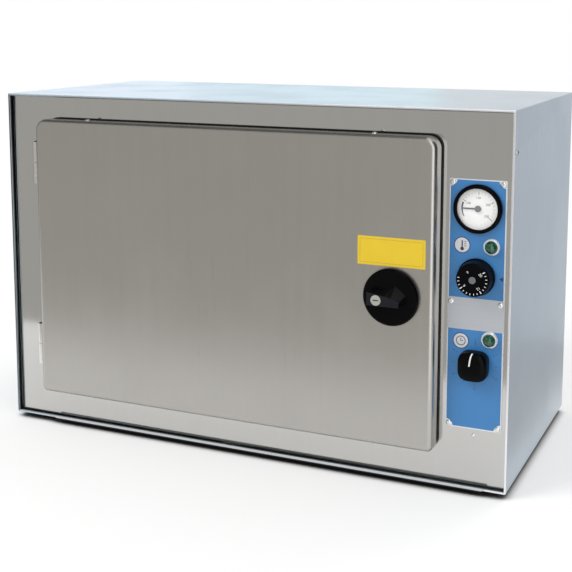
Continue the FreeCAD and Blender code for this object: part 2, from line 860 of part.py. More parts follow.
def make_chamber():
    """A drawn box with rounded corners and a flange that meets the front panel."""
    body = new_body("chamber_body", y="chamber_front")
    block = sketch_on(body, "XZ_Plane", "chamber_block")
    rectangle(block, ("shell_left", "shell_right"), ("shell_low", "shell_high"))
    pad(body, block, "chamber_depth + chamber_sheet", reverse=True)
    round_edges(body, "chamber_corner", lambda edge: runs_along(edge, "y"))
    round_face(body, "chamber_bend", "y", value("chamber_depth + chamber_sheet"))
    hollow(body, "chamber_sheet", "y", 0.0)
    rim_body = new_body("chamber_rim_body", y="chamber_front")
    rim = sketch_on(rim_body, "XZ_Plane", "chamber_rim")
    rectangle(rim, ("chamber_left - mouth_flange", "chamber_right + mouth_flange"),
              ("chamber_low - mouth_flange", "chamber_high + mouth_flange"))
    pad(rim_body, rim, "chamber_sheet", reverse=True)
    round_edges(rim_body, "mouth_flange / 2", lambda edge: runs_along(edge, "y"))
    mouth = sketch_on(rim_body, "XZ_Plane", "chamber_mouth")
    rectangle(mouth, ("chamber_left", "chamber_right"), ("chamber_low", "chamber_high"))
    pocket(rim_body, mouth, "chamber_sheet")
    round_edges(rim_body, "chamber_corner - chamber_sheet", at_mouth)
    tools = [
        rod("chamber_bulb_hole", "conduit_inner", "x", ("chamber_right - 1", "shell_right + 1"),
            ("conduit_y", "conduit_z")),
        hole("chamber_vent_hole", "y", ("chamber_back - 1", "shell_back + 1"),
             ("chamber_middle", "vent_tube_z"), shank="vent_tube_outer"),
    ]
    node("chamber", cut("chamber", fuse("chamber_whole", body, rim_body), *tools))


def make_insulation():
    """Mineral wool packed between the chamber's air jacket and the casing."""
    gap = "seat_gap"
    wool = box("wool_block", (f"wall_left + {gap}", f"divider_left - {gap}"),
               ("wool_front", "wall_back - screw_length"), (f"wall_low + {gap}", f"wall_high - {gap}"))
    room = box("wool_room", ("shell_left - air_jacket", "shell_right + air_jacket"),
               ("wool_front - 1", "shell_back + air_jacket"),
               ("shell_low - air_jacket", "shell_high + air_jacket"))
    back = "(divider_left + 1)"
    tools = [
        room,
        hole("wool_conduit_hole", "x", ("shell_right", back), ("conduit_y", "conduit_z"),
             shank="conduit_outer"),
        hole("wool_vent_hole", "y", ("shell_back", "wall_back + 1"), ("chamber_middle", "vent_tube_z"),
             shank="vent_tube_outer"),
    ]
    for index, spot in enumerate(HEATER_ENDS):
        tools.append(hole(f"wool_heater_hole{index}", "x", ("shell_right", back), spot,
                          shank="heater_diameter + 1"))
    for index, (x, y) in enumerate(FOOT_SPOTS):
        tools.append(rod(f"wool_foot_hole{index}", "screw_head", "z",
                         ("wall_low - 1", "wall_low + 2 * foot_screw_tip"), (x, y)))
    node("chamber_insulation", cut("chamber_insulation", wool, *tools))


def make_heater(name, height):
    """A tubular element in four legs, with both tails in the control compartment."""
    near = value("chamber_left + heater_end_margin + heater_leg_pitch / 2")
    far = value("chamber_right - heater_end_margin - heater_leg_pitch / 2")
    tail = value("divider_right + heater_tail")
    pitch = value("heater_leg_pitch")
    starts = [tail, near, far, near]
    ends = [near, far, near, tail]
    edges = []
    for index, (start, end) in enumerate(zip(starts, ends)):
        y = index * pitch
        edges.append(Part.LineSegment(V(start, y, 0), V(end, y, 0)).toShape())
        if index < 3:
            side = -pitch / 2 if end == near else pitch / 2
            arc = Part.Arc(V(end, y, 0), V(end + side, y + pitch / 2, 0), V(end, y + pitch, 0))
            edges.append(arc.toShape())
    ring = Part.Circle(V(tail, 0, 0), V(1, 0, 0), value("heater_diameter / 2"))
    tube = Part.Wire(edges).makePipeShell([Part.Wire(ring.toShape())], True, False)
    item = doc.addObject("Part::Feature", name)
    item.Shape = tube
    place(item, y=HEATER_LEGS[0], z=height)
    node(name, item)


def make_heater_clips():
    """Bridge clips that hold the heaters' legs against the chamber."""
    front = "chamber_front + heater_first_leg - heater_diameter - clip_sheet"
    back = f"{HEATER_LEGS[3]} + heater_diameter + clip_sheet"
    clips = []
    for row, (surface, sign) in enumerate((("shell_low", -1), ("shell_high", 1))):
        far = f"{surface} + {sign} * (heater_diameter + 2 * heater_gap)"
        outer = f"{far} + {sign} * clip_sheet"
        spans = (far, outer) if sign > 0 else (outer, far)
        legs = (surface, outer) if sign > 0 else (outer, surface)
        for side, x in enumerate(("chamber_left + clip_inset", "chamber_right - clip_inset")):
            wide = (f"{x} - clip_width / 2", f"{x} + clip_width / 2")
            name = f"clip{row}{side}"
            clips.append(fuse(
                name,
                box(name + "_bar", wide, (front, back), spans),
                box(name + "_front", wide, (front, f"{front} + clip_sheet"), legs),
                box(name + "_back", wide, (f"{back} - clip_sheet", back), legs),
            ))
    node("heater_clips", group("heater_clips", clips))


def make_shelf_rack(name, wall, sign):
    """A sheet against the chamber's side with a channel for the shelf at each level."""
    def reach(near, far):
        """A span out from the wall, low end first."""
        ends = (f"{wall} + {near}", f"{wall} + {far}")
        return ends if sign > 0 else (f"{wall} - ({far})", f"{wall} - ({near})")

    deep = ("chamber_front + rack_start", "chamber_front + rack_start + rack_depth")
    plate = box(name + "_plate", reach("0", "rack_sheet"), deep,
                ("chamber_low + rack_margin", "chamber_high - rack_margin"))
    ledges = []
    windows = []
    for level in range(int(value("level_count"))):
        low = f"chamber_low + first_level + {level} * level_pitch"
        for row, z in enumerate((f"{low} - ledge_sheet", f"{low} + channel_height")):
            ledges.append(box(f"{name}_ledge{level}{row}", reach("0", "rack_sheet + ledge_width"),
                              deep, (z, f"{z} + ledge_sheet")))
        if level:
            windows.append(box(f"{name}_window{level}", reach("-1", "rack_sheet + 1"),
                               ("chamber_front + 3 * rack_start",
                                "chamber_front + rack_depth - rack_start"),
                               (f"{low} - 3 * channel_height", f"{low} - channel_height")))
    node(name, fuse(name, cut(name + "_open", plate, *windows), *ledges))


def make_shelf(name, level):
    """A tray with a raised rim and rows of slots that let the air through."""
    floor = f"chamber_low + first_level + {level} * level_pitch + seat_gap"
    body = new_body(name + "_body", x="chamber_middle", y="chamber_front + shelf_start", z=floor)
    half = "(shelf_right - shelf_left) / 2"
    plan = sketch_on(body, "XY_Plane", name + "_plan")
    rectangle(plan, (f"-{half}", half), ("0", "rack_depth"))
    pad(body, plan, "shelf_rim")
    round_edges(body, "shelf_rim / 2", lambda edge: runs_along(edge, "z"))
    hollow(body, "shelf_sheet", "z", value("shelf_rim"))
    slots = sketch_on(body, "XY_Plane", name + "_slots")
    columns = int(value("shelf_slot_columns"))
    for column in range(columns):
        middle = f"{column - (columns - 1) / 2} * (shelf_slot_length + shelf_slot_gap)"
        rectangle(slots, (f"{middle} - shelf_slot_length / 2", f"{middle} + shelf_slot_length / 2"),
                  ("shelf_slot_gap", "shelf_slot_gap + shelf_slot_width"))
    first = pocket(body, slots, "shelf_sheet", reverse=True)
    rows = body.newObject("PartDesign::LinearPattern", name + "_rows")
    rows.Originals = [first]
    rows.Direction = (slots, ["V_Axis"])
    bind(rows, "Length", "rack_depth - 2 * shelf_slot_gap - shelf_slot_width")
    bind(rows, "Occurrences", "shelf_slot_rows")
    body.Tip = rows
    doc.recompute()
    node(name, body)


# Control compartment

def make_divider():
    """A folded wall between the insulation and the controls."""
    low, high = "wall_low + seat_gap", "wall_high - seat_gap"
    front, back = "panel_back", "wall_back"
    wall = box("divider_wall", ("divider_left", "divider_right"), (front, back), (low, high))
    fold = ("divider_left", "divider_left + divider_flange")
    folds = [
        box("divider_fold_back", fold, (f"{back} - divider_sheet", back), (low, high)),
        box("divider_fold_low", fold, ("panel_front + panel_flange + seat_gap", back),
            (low, f"{low} + divider_sheet")),
        box("divider_fold_high", fold, ("panel_front + panel_flange + seat_gap", back),
            (f"{high} - divider_sheet", high)),
    ]
    corner = ("panel_front", "panel_front + panel_flange + seat_gap")
    holes = [
        hole("divider_conduit_hole", "x", ("divider_left - 1", "divider_right + 1"),
             ("conduit_y", "conduit_z"), shank="conduit_outer"),
        box("divider_notch_low", ("divider_left - 1", "divider_right + 1"), corner,
            (f"{low} - 1", "wall_low + panel_sheet + panel_corner")),
        box("divider_notch_high", ("divider_left - 1", "divider_right + 1"), corner,
            ("wall_high - panel_sheet - panel_corner", f"{high} + 1")),
    ]
    for index, spot in enumerate(HEATER_ENDS):
        holes.append(hole(f"divider_heater_hole{index}", "x", ("divider_left - 1", "divider_right + 1"),
                          spot, shank="heater_diameter + 1"))
    node("compartment_divider", cut("compartment_divider", fuse("divider_folded", wall, *folds), *holes))


def make_conduit():
    """The tube that takes both capillaries through the insulation."""
    span = ("shell_right", "divider_right + conduit_proud")
    at = ("conduit_y", "conduit_z")
    bore = ("shell_right - 1", "divider_right + conduit_proud + 1")
    node("bulb_conduit", cut("bulb_conduit", rod("conduit_tube", "conduit_outer", "x", span, at),
                             rod("conduit_bore", "conduit_inner", "x", bore, at)))


def bent_tube(points, bend, diameter):
    """A tube along straight runs joined by tangent arcs of one radius."""
    spots = [V(*point) for point in points]
    edges = []
    start = spots[0]
    for before, corner, after in zip(spots, spots[1:], spots[2:]):
        towards = (before - corner).normalize()
        away = (after - corner).normalize()
        arc_start = corner + towards * bend
        arc_end = corner + away * bend
        centre = corner + (towards + away) * bend
        middle = centre + (corner - centre).normalize() * bend
        edges.append(Part.LineSegment(start, arc_start).toShape())
        edges.append(Part.Arc(arc_start, middle, arc_end).toShape())
        start = arc_end
    edges.append(Part.LineSegment(start, spots[-1]).toShape())
    way = (spots[1] - spots[0]).normalize()
    ring = Part.Wire(Part.Circle(spots[0], way, diameter / 2).toShape())
    return Part.Wire(edges).makePipeShell([ring], True, False)


def make_sensor(name, at, rise):
    """A bulb in the chamber and the capillary from it to its instrument's back."""
    back = value("conduit_y") - value(at[1])
    across = value("chamber_right - bulb_reach") - value(at[0])
    up = value(rise)
    points = [(0, 0, 0), (0, back, 0)]
    if up:
        points.append((0, back, up))
    points.append((across, back, up))
    tube = bent_tube(points, value("capillary_bend"), value("capillary_diameter"))
    bulb = Part.makeCylinder(value("bulb_diameter / 2"), value("bulb_length"),
                             V(across, back, up), V(-1, 0, 0))
    item = doc.addObject("Part::Feature", name)
    item.Shape = tube.fuse(bulb).removeSplitter()
    place(item, *at)
    node(name, item)


def make_control_plate():
    plate = box("plate_sheet_metal", ("plate_left", "plate_right"), ("plate_front", "panel_front"),
                ("plate_low", "plate_high"))
    span = ("plate_front - 1", "panel_front + 1")
    holes = [
        rod("plate_gauge_hole", "gauge_outer + hole_clearance", "y", span, ("control_x", "gauge_z")),
        rod("plate_thermostat_hole", "bush_diameter + hole_clearance", "y", span,
            ("control_x", "thermostat_z")),
        rod("plate_timer_hole", "bush_diameter + hole_clearance", "y", span, ("control_x", "timer_z")),
    ]
    for index, spot in enumerate(LAMP_SPOTS):
        holes.append(rod(f"plate_lamp_hole{index}", "lamp_body + hole_clearance", "y", span, spot))
    screws = []
    for index, spot in enumerate(PLATE_SPOTS):
        holes.append(hole(f"plate_screw_hole{index}", "y", span, spot))
        screws.append(screw(f"plate_screw{index}", "-y", "plate_front", spot))
    node("control_plate", cut("control_plate", plate, *holes))
    node("control_plate_screws", group("control_plate_screws", screws))
    node("panel_rivet", screw("panel_rivet", "-y", "panel_front", ("control_x", "rivet_z"),
                              head="rivet_head", height="rivet_head / 3", shank="rivet_head / 2",
                              length="panel_sheet + rivet_head / 2"))


def turned(name, x, y, z, profile):
    """A turned piece on the Y axis: profile points are radius and distance back."""
    body = new_body(name + "_body", x, y, z)
    half = sketch_on(body, "XY_Plane", name + "_profile")
    outline(half, profile)
    revolve(body, half)
    return body


def make_thermometer():
    """A dial thermometer with a remote bulb, held in the control plate by its bezel."""
    bezel, window, bore = "bezel_diameter / 2", "window_diameter / 2", "gauge_bore / 2"
    case = turned("thermometer_case", "control_x", "plate_front", "gauge_z", [
        (window, "-bezel_height"),
        (f"{bezel} - bezel_chamfer", "-bezel_height"),
        (bezel, "bezel_chamfer - bezel_height"),
        (bezel, "0"),
        (f"{bore} + gauge_wall", "0"),
        (f"{bore} + gauge_wall", "gauge_depth"),
        ("capillary_diameter", "gauge_depth"),
        ("capillary_diameter", "gauge_depth - gauge_wall"),
        (bore, "gauge_depth - gauge_wall"),
        (bore, "bezel_lip - bezel_height"),
        (window, "bezel_lip - bezel_height"),
    ])
    node("thermometer_case", case)
    at = ("control_x", "gauge_z")
    disc = "gauge_bore - 2 * disc_clearance"
    face = "plate_front - dial_depth"
    dial = rod("dial_disc", disc, "y", (face, f"{face} + dial_sheet"), at)
    bore_hole = rod("dial_hole", "needle_pin + shaft_clearance", "y",
                    (f"{face} - 1", f"{face} + dial_sheet + 1"), at)
    node("thermometer_dial", cut("thermometer_dial", dial, bore_hole))
    pane = "plate_front - bezel_height + bezel_lip"
    node("thermometer_glass", rod("thermometer_glass", disc, "y", (pane, f"{pane} + glass_sheet"), at))
    hand = f"{face} - needle_rise"
    needle = fuse(
        "thermometer_needle",
        box("needle_arm", ("control_x - needle_length", "control_x + needle_tail"),
            (f"{hand} - needle_sheet", hand),
            ("gauge_z - needle_width / 2", "gauge_z + needle_width / 2")),
        rod("needle_boss", "needle_hub", "y", (f"{hand} - 2 * needle_sheet", f"{hand} + needle_sheet"), at),
        rod("needle_spindle", "needle_pin", "y", (hand, f"{face} + 4 * dial_sheet"), at),
    )
    node("thermometer_needle", needle)


def make_pilot_lamps():
    """Two round lamps: a plated bezel, a domed lens and a body behind the panel."""
    bezels = []
    lenses = []
    bodies = []
    lens, bezel = "lamp_lens / 2", "lamp_bezel / 2"
    for index, (x, z) in enumerate(LAMP_SPOTS):
        bezels.append(turned(f"lamp_bezel{index}", x, "plate_front", z, [
            (f"{lens} + seat_gap", "-lamp_bezel_height"),
            (f"{bezel} - lamp_bezel_bevel", "-lamp_bezel_height"),
            (bezel, "lamp_bezel_bevel - lamp_bezel_height"),
            (bezel, "0"),
            (f"{lens} + seat_gap", "0"),
        ]))
        dome = [(f"sin({angle}) * {lens}", f"-lamp_bezel_height - cos({angle}) * lamp_dome")
                for angle in (25, 50, 70)]
        lenses.append(turned(f"lamp_lens{index}", x, "plate_front", z, [
            ("0", "-lamp_bezel_height - lamp_dome"),
            *dome,
            (lens, "-lamp_bezel_height"),
            (lens, "0"),
            ("0", "0"),
        ]))
        bodies.append(rod(f"lamp_body{index}", "lamp_body", "y",
                          ("plate_front", "plate_front + lamp_body_length"), (x, z)))
    node("pilot_lamp_bezels", group("pilot_lamp_bezels", bezels))
    node("pilot_lamp_lenses", group("pilot_lamp_lenses", lenses))
    node("pilot_lamp_bodies", group("pilot_lamp_bodies", bodies))


def make_switch_body(name, z, block):
    """An instrument behind the panel, with a threaded bush that its shaft runs in."""
    at = ("control_x", z)
    bush = rod(name + "_bush", "bush_diameter", "y", ("plate_front - bush_proud", "panel_back + 1"), at)
    bore = rod(name + "_bore", "shaft_diameter + shaft_clearance", "y",
               ("plate_front - 1", "panel_back + shaft_tail + 1"), at)
    node(name, cut(name, fuse(name + "_whole", block, bush), bore))


def make_instruments():
    half_width, half_height = "thermostat_width / 2", "thermostat_height / 2"
    block = fuse(
        "thermostat_block",
        box("thermostat_case", (f"control_x - {half_width}", f"control_x + {half_width}"),
            ("panel_back + 2 * panel_sheet", "thermostat_back"),
            (f"thermostat_z - {half_height}", f"thermostat_z + {half_height}")),
        box("thermostat_bracket", (f"control_x - {half_width}", f"control_x + {half_width}"),
            ("panel_back", "panel_back + 2 * panel_sheet"),
            (f"thermostat_z - {half_height} / 2", f"thermostat_z + {half_height} / 2")),
    )
    make_switch_body("thermostat_body", "thermostat_z", block)
    drum = fuse(
        "timer_drum",
        rod("timer_case", "timer_diameter", "y", ("panel_back + 2 * panel_sheet",
            "panel_back + timer_depth"), ("control_x", "timer_z")),
        box("timer_bracket", ("control_x - timer_diameter / 2", "control_x + timer_diameter / 2"),
            ("panel_back", "panel_back + 2 * panel_sheet"),
            ("timer_z - bush_diameter", "timer_z + bush_diameter")),
    )
    make_switch_body("timer_body", "timer_z", drum)


def make_shaft(name, z):
    node(name, rod(name, "shaft_diameter", "y", ("knob_back - knob_socket + 1",
         "panel_back + shaft_tail"), ("control_x", z)))


def make_knobs():
    """A round dial knob for the heat and a squared knob for the time."""
    socket = "(shaft_diameter + shaft_clearance) / 2"
    top = "-knob_height"
    knob = turned("thermostat_knob", "control_x", "knob_back", "thermostat_z", [
        ("0", "-knob_socket"),
        ("0", top),
        ("knob_top / 2 - knob_bevel", top),
        ("knob_top / 2", f"{top} + knob_bevel"),
        ("knob_top / 2 + knob_flare", "-knob_skirt_height"),
        ("knob_skirt / 2 - knob_skirt_bevel", "-knob_skirt_height"),
        ("knob_skirt / 2", "knob_skirt_bevel - knob_skirt_height"),
        ("knob_skirt / 2", "0"),
        (socket, "0"),
        (socket, "-knob_socket"),
    ])
    node("thermostat_knob", knob)
    node("thermostat_knob_cap", rod("thermostat_knob_cap", "knob_hub", "y",
         ("knob_back - knob_height - knob_hub_height", "knob_back - knob_height"),
         ("control_x", "thermostat_z")))
    make_shaft("thermostat_shaft", "thermostat_z")

    body = new_body("timer_knob_body", "control_x", "knob_back", "timer_z")
    half = "timer_knob_width / 2"
    square = sketch_on(body, "XZ_Plane", "timer_knob_square")
    rectangle(square, (f"-{half}", half), (f"-{half}", half))
    pad(body, square, "timer_knob_height")
    round_edges(body, "timer_knob_corner", lambda edge: runs_along(edge, "y"))
    round_face(body, "timer_knob_bevel", "y", -value("timer_knob_height"))
    bore = rod("timer_knob_bore", "shaft_diameter + shaft_clearance", "y",
               ("knob_back - knob_socket", "knob_back + 1"), ("control_x", "timer_z"))
    node("timer_knob", cut("timer_knob", body, bore))
    make_shaft("timer_shaft", "timer_z")


def make_compartment_fittings():
    """The terminal block on the floor and the cut-out on the chamber's side."""
    low = "wall_low"
    middle = "(divider_right + wall_right) / 2"
    block = box("block_base", (f"{middle} - block_width / 2", f"{middle} + block_width / 2"),
                ("wall_back - block_setback - block_length", "wall_back - block_setback"),
                (low, f"{low} + block_height"))
    grooves = [
        box(f"block_groove{side}",
            (f"{middle} + {side} * block_width / 2 - block_groove",
             f"{middle} + {side} * block_width / 2 + block_groove"),
            ("wall_back - block_setback - block_length - 1", "wall_back - block_setback + 1"),
            (f"{low} + block_height / 2", f"{low} + block_height + 1"))
        for side in (-1, 1)
    ]
    node("terminal_block", cut("terminal_block", block, *grooves))
    node("safety_cutout", rod("safety_cutout", "cutout_diameter", "x",
         ("shell_right", "shell_right + cutout_height"),
         ("chamber_front + chamber_depth / 2", "(chamber_low + chamber_high) / 2")))


def make_rear_fittings():
    """The cable gland with its nut, and the chamber's vent tube."""
    at = ("gland_x", "gland_z")
    bore = rod("gland_bore_tool", "gland_bore", "y",
               ("wall_back - gland_tail - 1", "back_face + gland_reach + 1"), at)
    gland = fuse(
        "gland_whole",
        rod("gland_stem", "gland_thread", "y", ("back_face - gland_tail", "back_face"), at),
        hexagon("gland_hex", "gland_flange", "y", ("back_face", "back_face + gland_flange_height"), at),
        cone("gland_dome", "gland_dome_low", "gland_dome_high", "y",
             ("back_face + gland_flange_height", "back_face + gland_reach"), at),
    )
    node("cable_gland", cut("cable_gland", gland, bore))
    nut = hexagon("gland_nut_hex", "gland_flange", "y", ("case_back - gland_nut_height", "case_back"), at)
    nut_bore = rod("gland_nut_bore", "gland_thread + hole_clearance", "y",
                   ("case_back - gland_nut_height - 1", "case_back + 1"), at)
    node("gland_nut", cut("gland_nut", nut, nut_bore))
    pipe_at = ("chamber_middle", "vent_tube_z")
    pipe = rod("vent_pipe", "vent_tube_outer", "y", ("chamber_back", "back_face + vent_tube_reach"), pipe_at)
    pipe_bore = rod("vent_pipe_bore", "vent_tube_inner", "y",
                    ("chamber_back - 1", "back_face + vent_tube_reach + 1"), pipe_at)
    node("vent_tube", cut("vent_tube", pipe, pipe_bore))


# Door, hinges and gasket

def make_gasket():
    """A silicone frame round the chamber's mouth that the door closes on."""
    inner, outer = "gasket_margin", "(gasket_margin + gasket_width)"
    deep = ("door_back + seat_gap", "panel_front")

    def frame_block(name, out, y):
        return box(name, (f"chamber_left - {out}", f"chamber_right + {out}"), y,
                   (f"chamber_low - {out}", f"chamber_high + {out}"))

    node("door_gasket", cut("door_gasket", frame_block("gasket_block", outer, deep),
                            frame_block("gasket_room", inner, ("door_back", "panel_front + 1"))))


def at_top(edge):
    """True for the door's two short upper corner edges."""
    return runs_along(edge, "y") and edge.BoundBox.ZMin > value("(door_low + door_high) / 2")


def at_bottom(edge):
    """True for the door's two short lower corner edges."""
    return runs_along(edge, "y") and edge.BoundBox.ZMax < value("(door_low + door_high) / 2")


def make_door_skin():
    """A drawn steel pan, open at the back."""
    body = new_body("door_skin_body", y="door_back")
    face = sketch_on(body, "XZ_Plane", "door_skin_face")
    rectangle(face, ("door_left", "door_right"), ("door_low", "door_high"))
    pad(body, face, "door_thickness")
    round_edges(body, "door_corner", at_top)
    round_edges(body, "door_corner_low", at_bottom)
    round_face(body, "door_edge", "y", -value("door_thickness"))
    hollow(body, "door_sheet", "y", 0.0)
    holes = [hole("skin_boss_hole", "y", ("door_front - 1", "door_back"), ("handle_x", "handle_z"),
                  shank="boss_diameter")]
    for index, x in enumerate(DOOR_SPOTS):
        holes.append(hole(f"skin_screw_hole{index}", "z", ("door_low - 1", "door_high + 1"),
                          (x, "door_back - door_thickness / 2")))
    node("door_skin", cut("door_skin", body, *holes))


def make_door_liner():
    """The inner plate, pressed out towards the chamber, with a flange at the top and bottom."""
    body = new_body("liner_body", y="door_back")
    play = "seat_gap"
    plate = sketch_on(body, "XZ_Plane", "liner_plate")
    rectangle(plate, (f"liner_left + {play}", f"liner_right - {play}"),
              (f"liner_low + {play}", f"liner_high - {play}"))
    pad(body, plate, "liner_sheet")
    round_edges(body, "door_corner - door_sheet", at_top)
    round_edges(body, "door_corner_low - door_sheet", at_bottom)
    boss = sketch_on(body, "XZ_Plane", "liner_boss")
    rectangle(boss, ("chamber_left + liner_inset", "chamber_right - liner_inset"),
              ("chamber_low + liner_inset", "chamber_high - liner_inset"))
    raised = pad(body, boss, "liner_rise", reverse=True)
    bind(raised, "TaperAngle", "-liner_taper")
    doc.recompute()
    dish = sketch_on(body, "XZ_Plane", "liner_dish", "liner_sheet")
    inset = "liner_inset + 2 * liner_rise"
    rectangle(dish, (f"chamber_left + {inset}", f"chamber_right - ({inset})"),
              (f"chamber_low + {inset}", f"chamber_high - ({inset})"))
    pocket(body, dish, "liner_rise")
    tabs = []
    wide = ("liner_left + 2 * door_corner", "liner_right - 2 * door_corner")
    deep = ("door_back - liner_sheet - liner_flange - 3", "door_back - liner_sheet / 2")
    for name, z in (("low", (f"liner_low + {play}", f"liner_low + {play} + liner_sheet")),
                    ("high", (f"liner_high - {play} - liner_sheet", f"liner_high - {play}"))):
        tabs.append(box(f"liner_tab_{name}", wide, deep, z))
    holes = [hole("liner_boss_hole", "y", ("door_back - liner_sheet - 1", "door_back + 1"),
                  ("handle_x", "handle_z"), shank="boss_diameter")]
    for index, x in enumerate(DOOR_SPOTS):
        holes.append(hole(f"liner_screw_hole{index}", "z", ("door_low - 1", "door_high + 1"),
                          (x, "door_back - door_thickness / 2")))
    node("door_liner", cut("door_liner", fuse("liner_whole", body, *tabs), *holes))


def make_door_pad():
    """Mineral wool between the door's skin and its liner."""
    wool = box("door_wool", ("door_left + pad_inset", "door_right - pad_inset"),
               ("door_front + door_sheet", "door_back - liner_sheet"),
               ("door_low + pad_inset", "door_high - pad_inset"))
    tools = [hole("door_wool_boss_hole", "y", ("door_front", "door_back"), ("handle_x", "handle_z"),
                  shank="boss_diameter")]
    for index, x in enumerate(DOOR_SPOTS):
        for side, z in (("low", ("door_low", "door_low + pad_inset + screw_length")),
                        ("high", ("door_high - pad_inset - screw_length", "door_high"))):
            tools.append(rod(f"door_wool_screw_{side}{index}", "screw_head", "z", z,
                             (x, "door_back - door_thickness / 2")))
    node("door_insulation", cut("door_insulation", wool, *tools))


def make_door_screws():
    screws = []
    for index, x in enumerate(DOOR_SPOTS):
        spot = (x, "door_back - door_thickness / 2")
        screws.append(screw(f"door_screw_low{index}", "-z", "door_low", spot))
        screws.append(screw(f"door_screw_high{index}", "+z", "door_high", spot))
    node("door_screws", group("door_screws", screws))


def make_hinges():
    """Two lift-off hinges: a fixed knuckle with its pin below and a lifting knuckle above."""
    fixed = []
    lifting = []
    pins = []
    at = ("hinge_x", "hinge_y")
    for name, centre in (("high", "case_floor + hinge_high"), ("low", "case_floor + hinge_low")):
        bottom = f"{centre} - hinge_height / 2"
        top = f"{centre} + hinge_height / 2"
        lower = (bottom, f"{centre} - knuckle_gap / 2")
        upper = (f"{centre} + knuckle_gap / 2", top)
        left = "hinge_x - knuckle_diameter / 2"
        barrel = fuse(
            f"fixed_leaf_{name}_whole",
            rod(f"fixed_barrel_{name}", "knuckle_diameter", "z", lower, at),
            box(f"fixed_arm_{name}", (left, f"{left} + leaf_sheet"), ("hinge_y", "panel_front"), lower),
            box(f"fixed_flange_{name}", (left, f"{left} + leaf_flange"),
                ("panel_front - leaf_sheet", "panel_front"), lower),
        )
        fixed.append(cut(f"fixed_leaf_{name}", barrel,
                         rod(f"fixed_bore_{name}", "pin_diameter", "z",
                             (f"{bottom} - 1", f"{centre} + 1"), at)))
        wing = fuse(
            f"lifting_leaf_{name}_whole",
            rod(f"lifting_barrel_{name}", "knuckle_diameter", "z", upper, at),
            box(f"lifting_wing_{name}", ("door_left - leaf_sheet", "door_left"),
                ("hinge_y - 1", "hinge_y + leaf_wing"), upper),
        )
        lifting.append(cut(f"lifting_leaf_{name}", wing,
                           rod(f"lifting_bore_{name}", "pin_diameter + pin_clearance", "z",
                               (f"{centre} - 1", f"{top} + 1"), at)))
        pins.append(fuse(
            f"hinge_pin_{name}",
            rod(f"hinge_pin_{name}_rod", "pin_diameter", "z", (bottom, top), at),
            cone(f"hinge_pin_{name}_tip", "pin_diameter", "pin_diameter / 2", "z",
                 (top, f"{top} + pin_head / 3"), at),
        ))
    node("hinge_fixed_leaves", group("hinge_fixed_leaves", fixed))
    node("hinge_lifting_leaves", group("hinge_lifting_leaves", lifting))
    node("hinge_pins", group("hinge_pins", pins))


# Handle, lock and latch

def make_rosette():
    """The round escutcheon, whose boss goes through the door and carries the spindle."""
    bore = "(spindle_diameter + shaft_clearance) / 2"
    disc, boss = "rosette_diameter / 2", "boss_diameter / 2"
    rosette = turned("handle_rosette", "handle_x", "door_front", "handle_z", [
        (bore, "-rosette_thickness"),
        (f"{disc} - rosette_chamfer", "-rosette_thickness"),
        (disc, "rosette_chamfer - rosette_thickness"),
        (disc, "0"),
        (boss, "0"),
        (boss, "door_thickness + boss_nut_height"),
        (bore, "door_thickness + boss_nut_height"),
    ])
    node("handle_rosette", rosette)
    at = ("handle_x", "handle_z")
    nut = hexagon("rosette_nut_hex", "boss_nut", "y", ("door_back", "door_back + boss_nut_height"), at)
    nut_bore = hole("rosette_nut_bore", "y", ("door_back - 1", "door_back + boss_nut_height + 1"), at,
                    shank="boss_diameter")
    node("rosette_nut", cut("rosette_nut", nut, nut_bore))


def make_lever():
    """A wedge lever, lofted from a broad foot to a narrower face that holds the lock."""
    body = new_body("lever_body", "handle_x", "lever_back", "handle_z")
    half = "lever_width / 2"
    foot = sketch_on(body, "XZ_Plane", "lever_foot")
    outline(foot, [
        ("-lever_left", f"-{half}"),
        ("lever_right", f"-{half}"),
        ("lever_heel", "lever_heel_rise"),
        ("lever_crest_setback", "lever_crest"),
        ("-lever_step", half),
        ("-lever_left", half),
    ])
    nose = f"lever_nose - {half}"
    face = sketch_on(body, "XZ_Plane", "lever_face", "lever_reach")
    outline(face, [
        ("-lever_left", f"-{half}"),
        ("lever_right", f"-{half}"),
        ("lever_right", nose),
        ("(lever_right - lever_bend) / 2", f"({nose} + lever_bend_rise) / 2"),
        ("-lever_bend", "lever_bend_rise"),
        ("-lever_left", half),
    ])
    loft = body.newObject("PartDesign::AdditiveLoft", "lever_loft")
    loft.Profile = foot
    loft.Sections = [face]
    loft.Ruled = True
    settle(loft)
    at = ("handle_x", "handle_z")
    holes = [
        rod("lever_bore", "spindle_diameter", "y", ("lever_back - lever_socket", "lever_back + 1"), at),
        rod("lever_lock_bore", "lock_diameter + shaft_clearance", "y",
            ("lever_front - 1", "lever_front + lock_depth"),
            ("handle_x - lock_offset", "handle_z - lock_drop")),
    ]
    node("handle_lever", cut("handle_lever", body, *holes))


def make_lock():
    at = ("handle_x - lock_offset", "handle_z - lock_drop")
    plug = rod("lock_plug", "lock_diameter", "y",
               ("lever_front - lock_proud", "lever_front + lock_depth - seat_gap"), at)
    slit = box("lock_slit", (f"{at[0]} - key_slit / 2", f"{at[0]} + key_slit / 2"),
               ("lever_front - 1", "lever_front + lock_depth / 2"),
               (f"{at[1]} - key_slit_width / 2", f"{at[1]} + key_slit_width / 2"))
    node("lock_cylinder", cut("lock_cylinder", plug, slit))


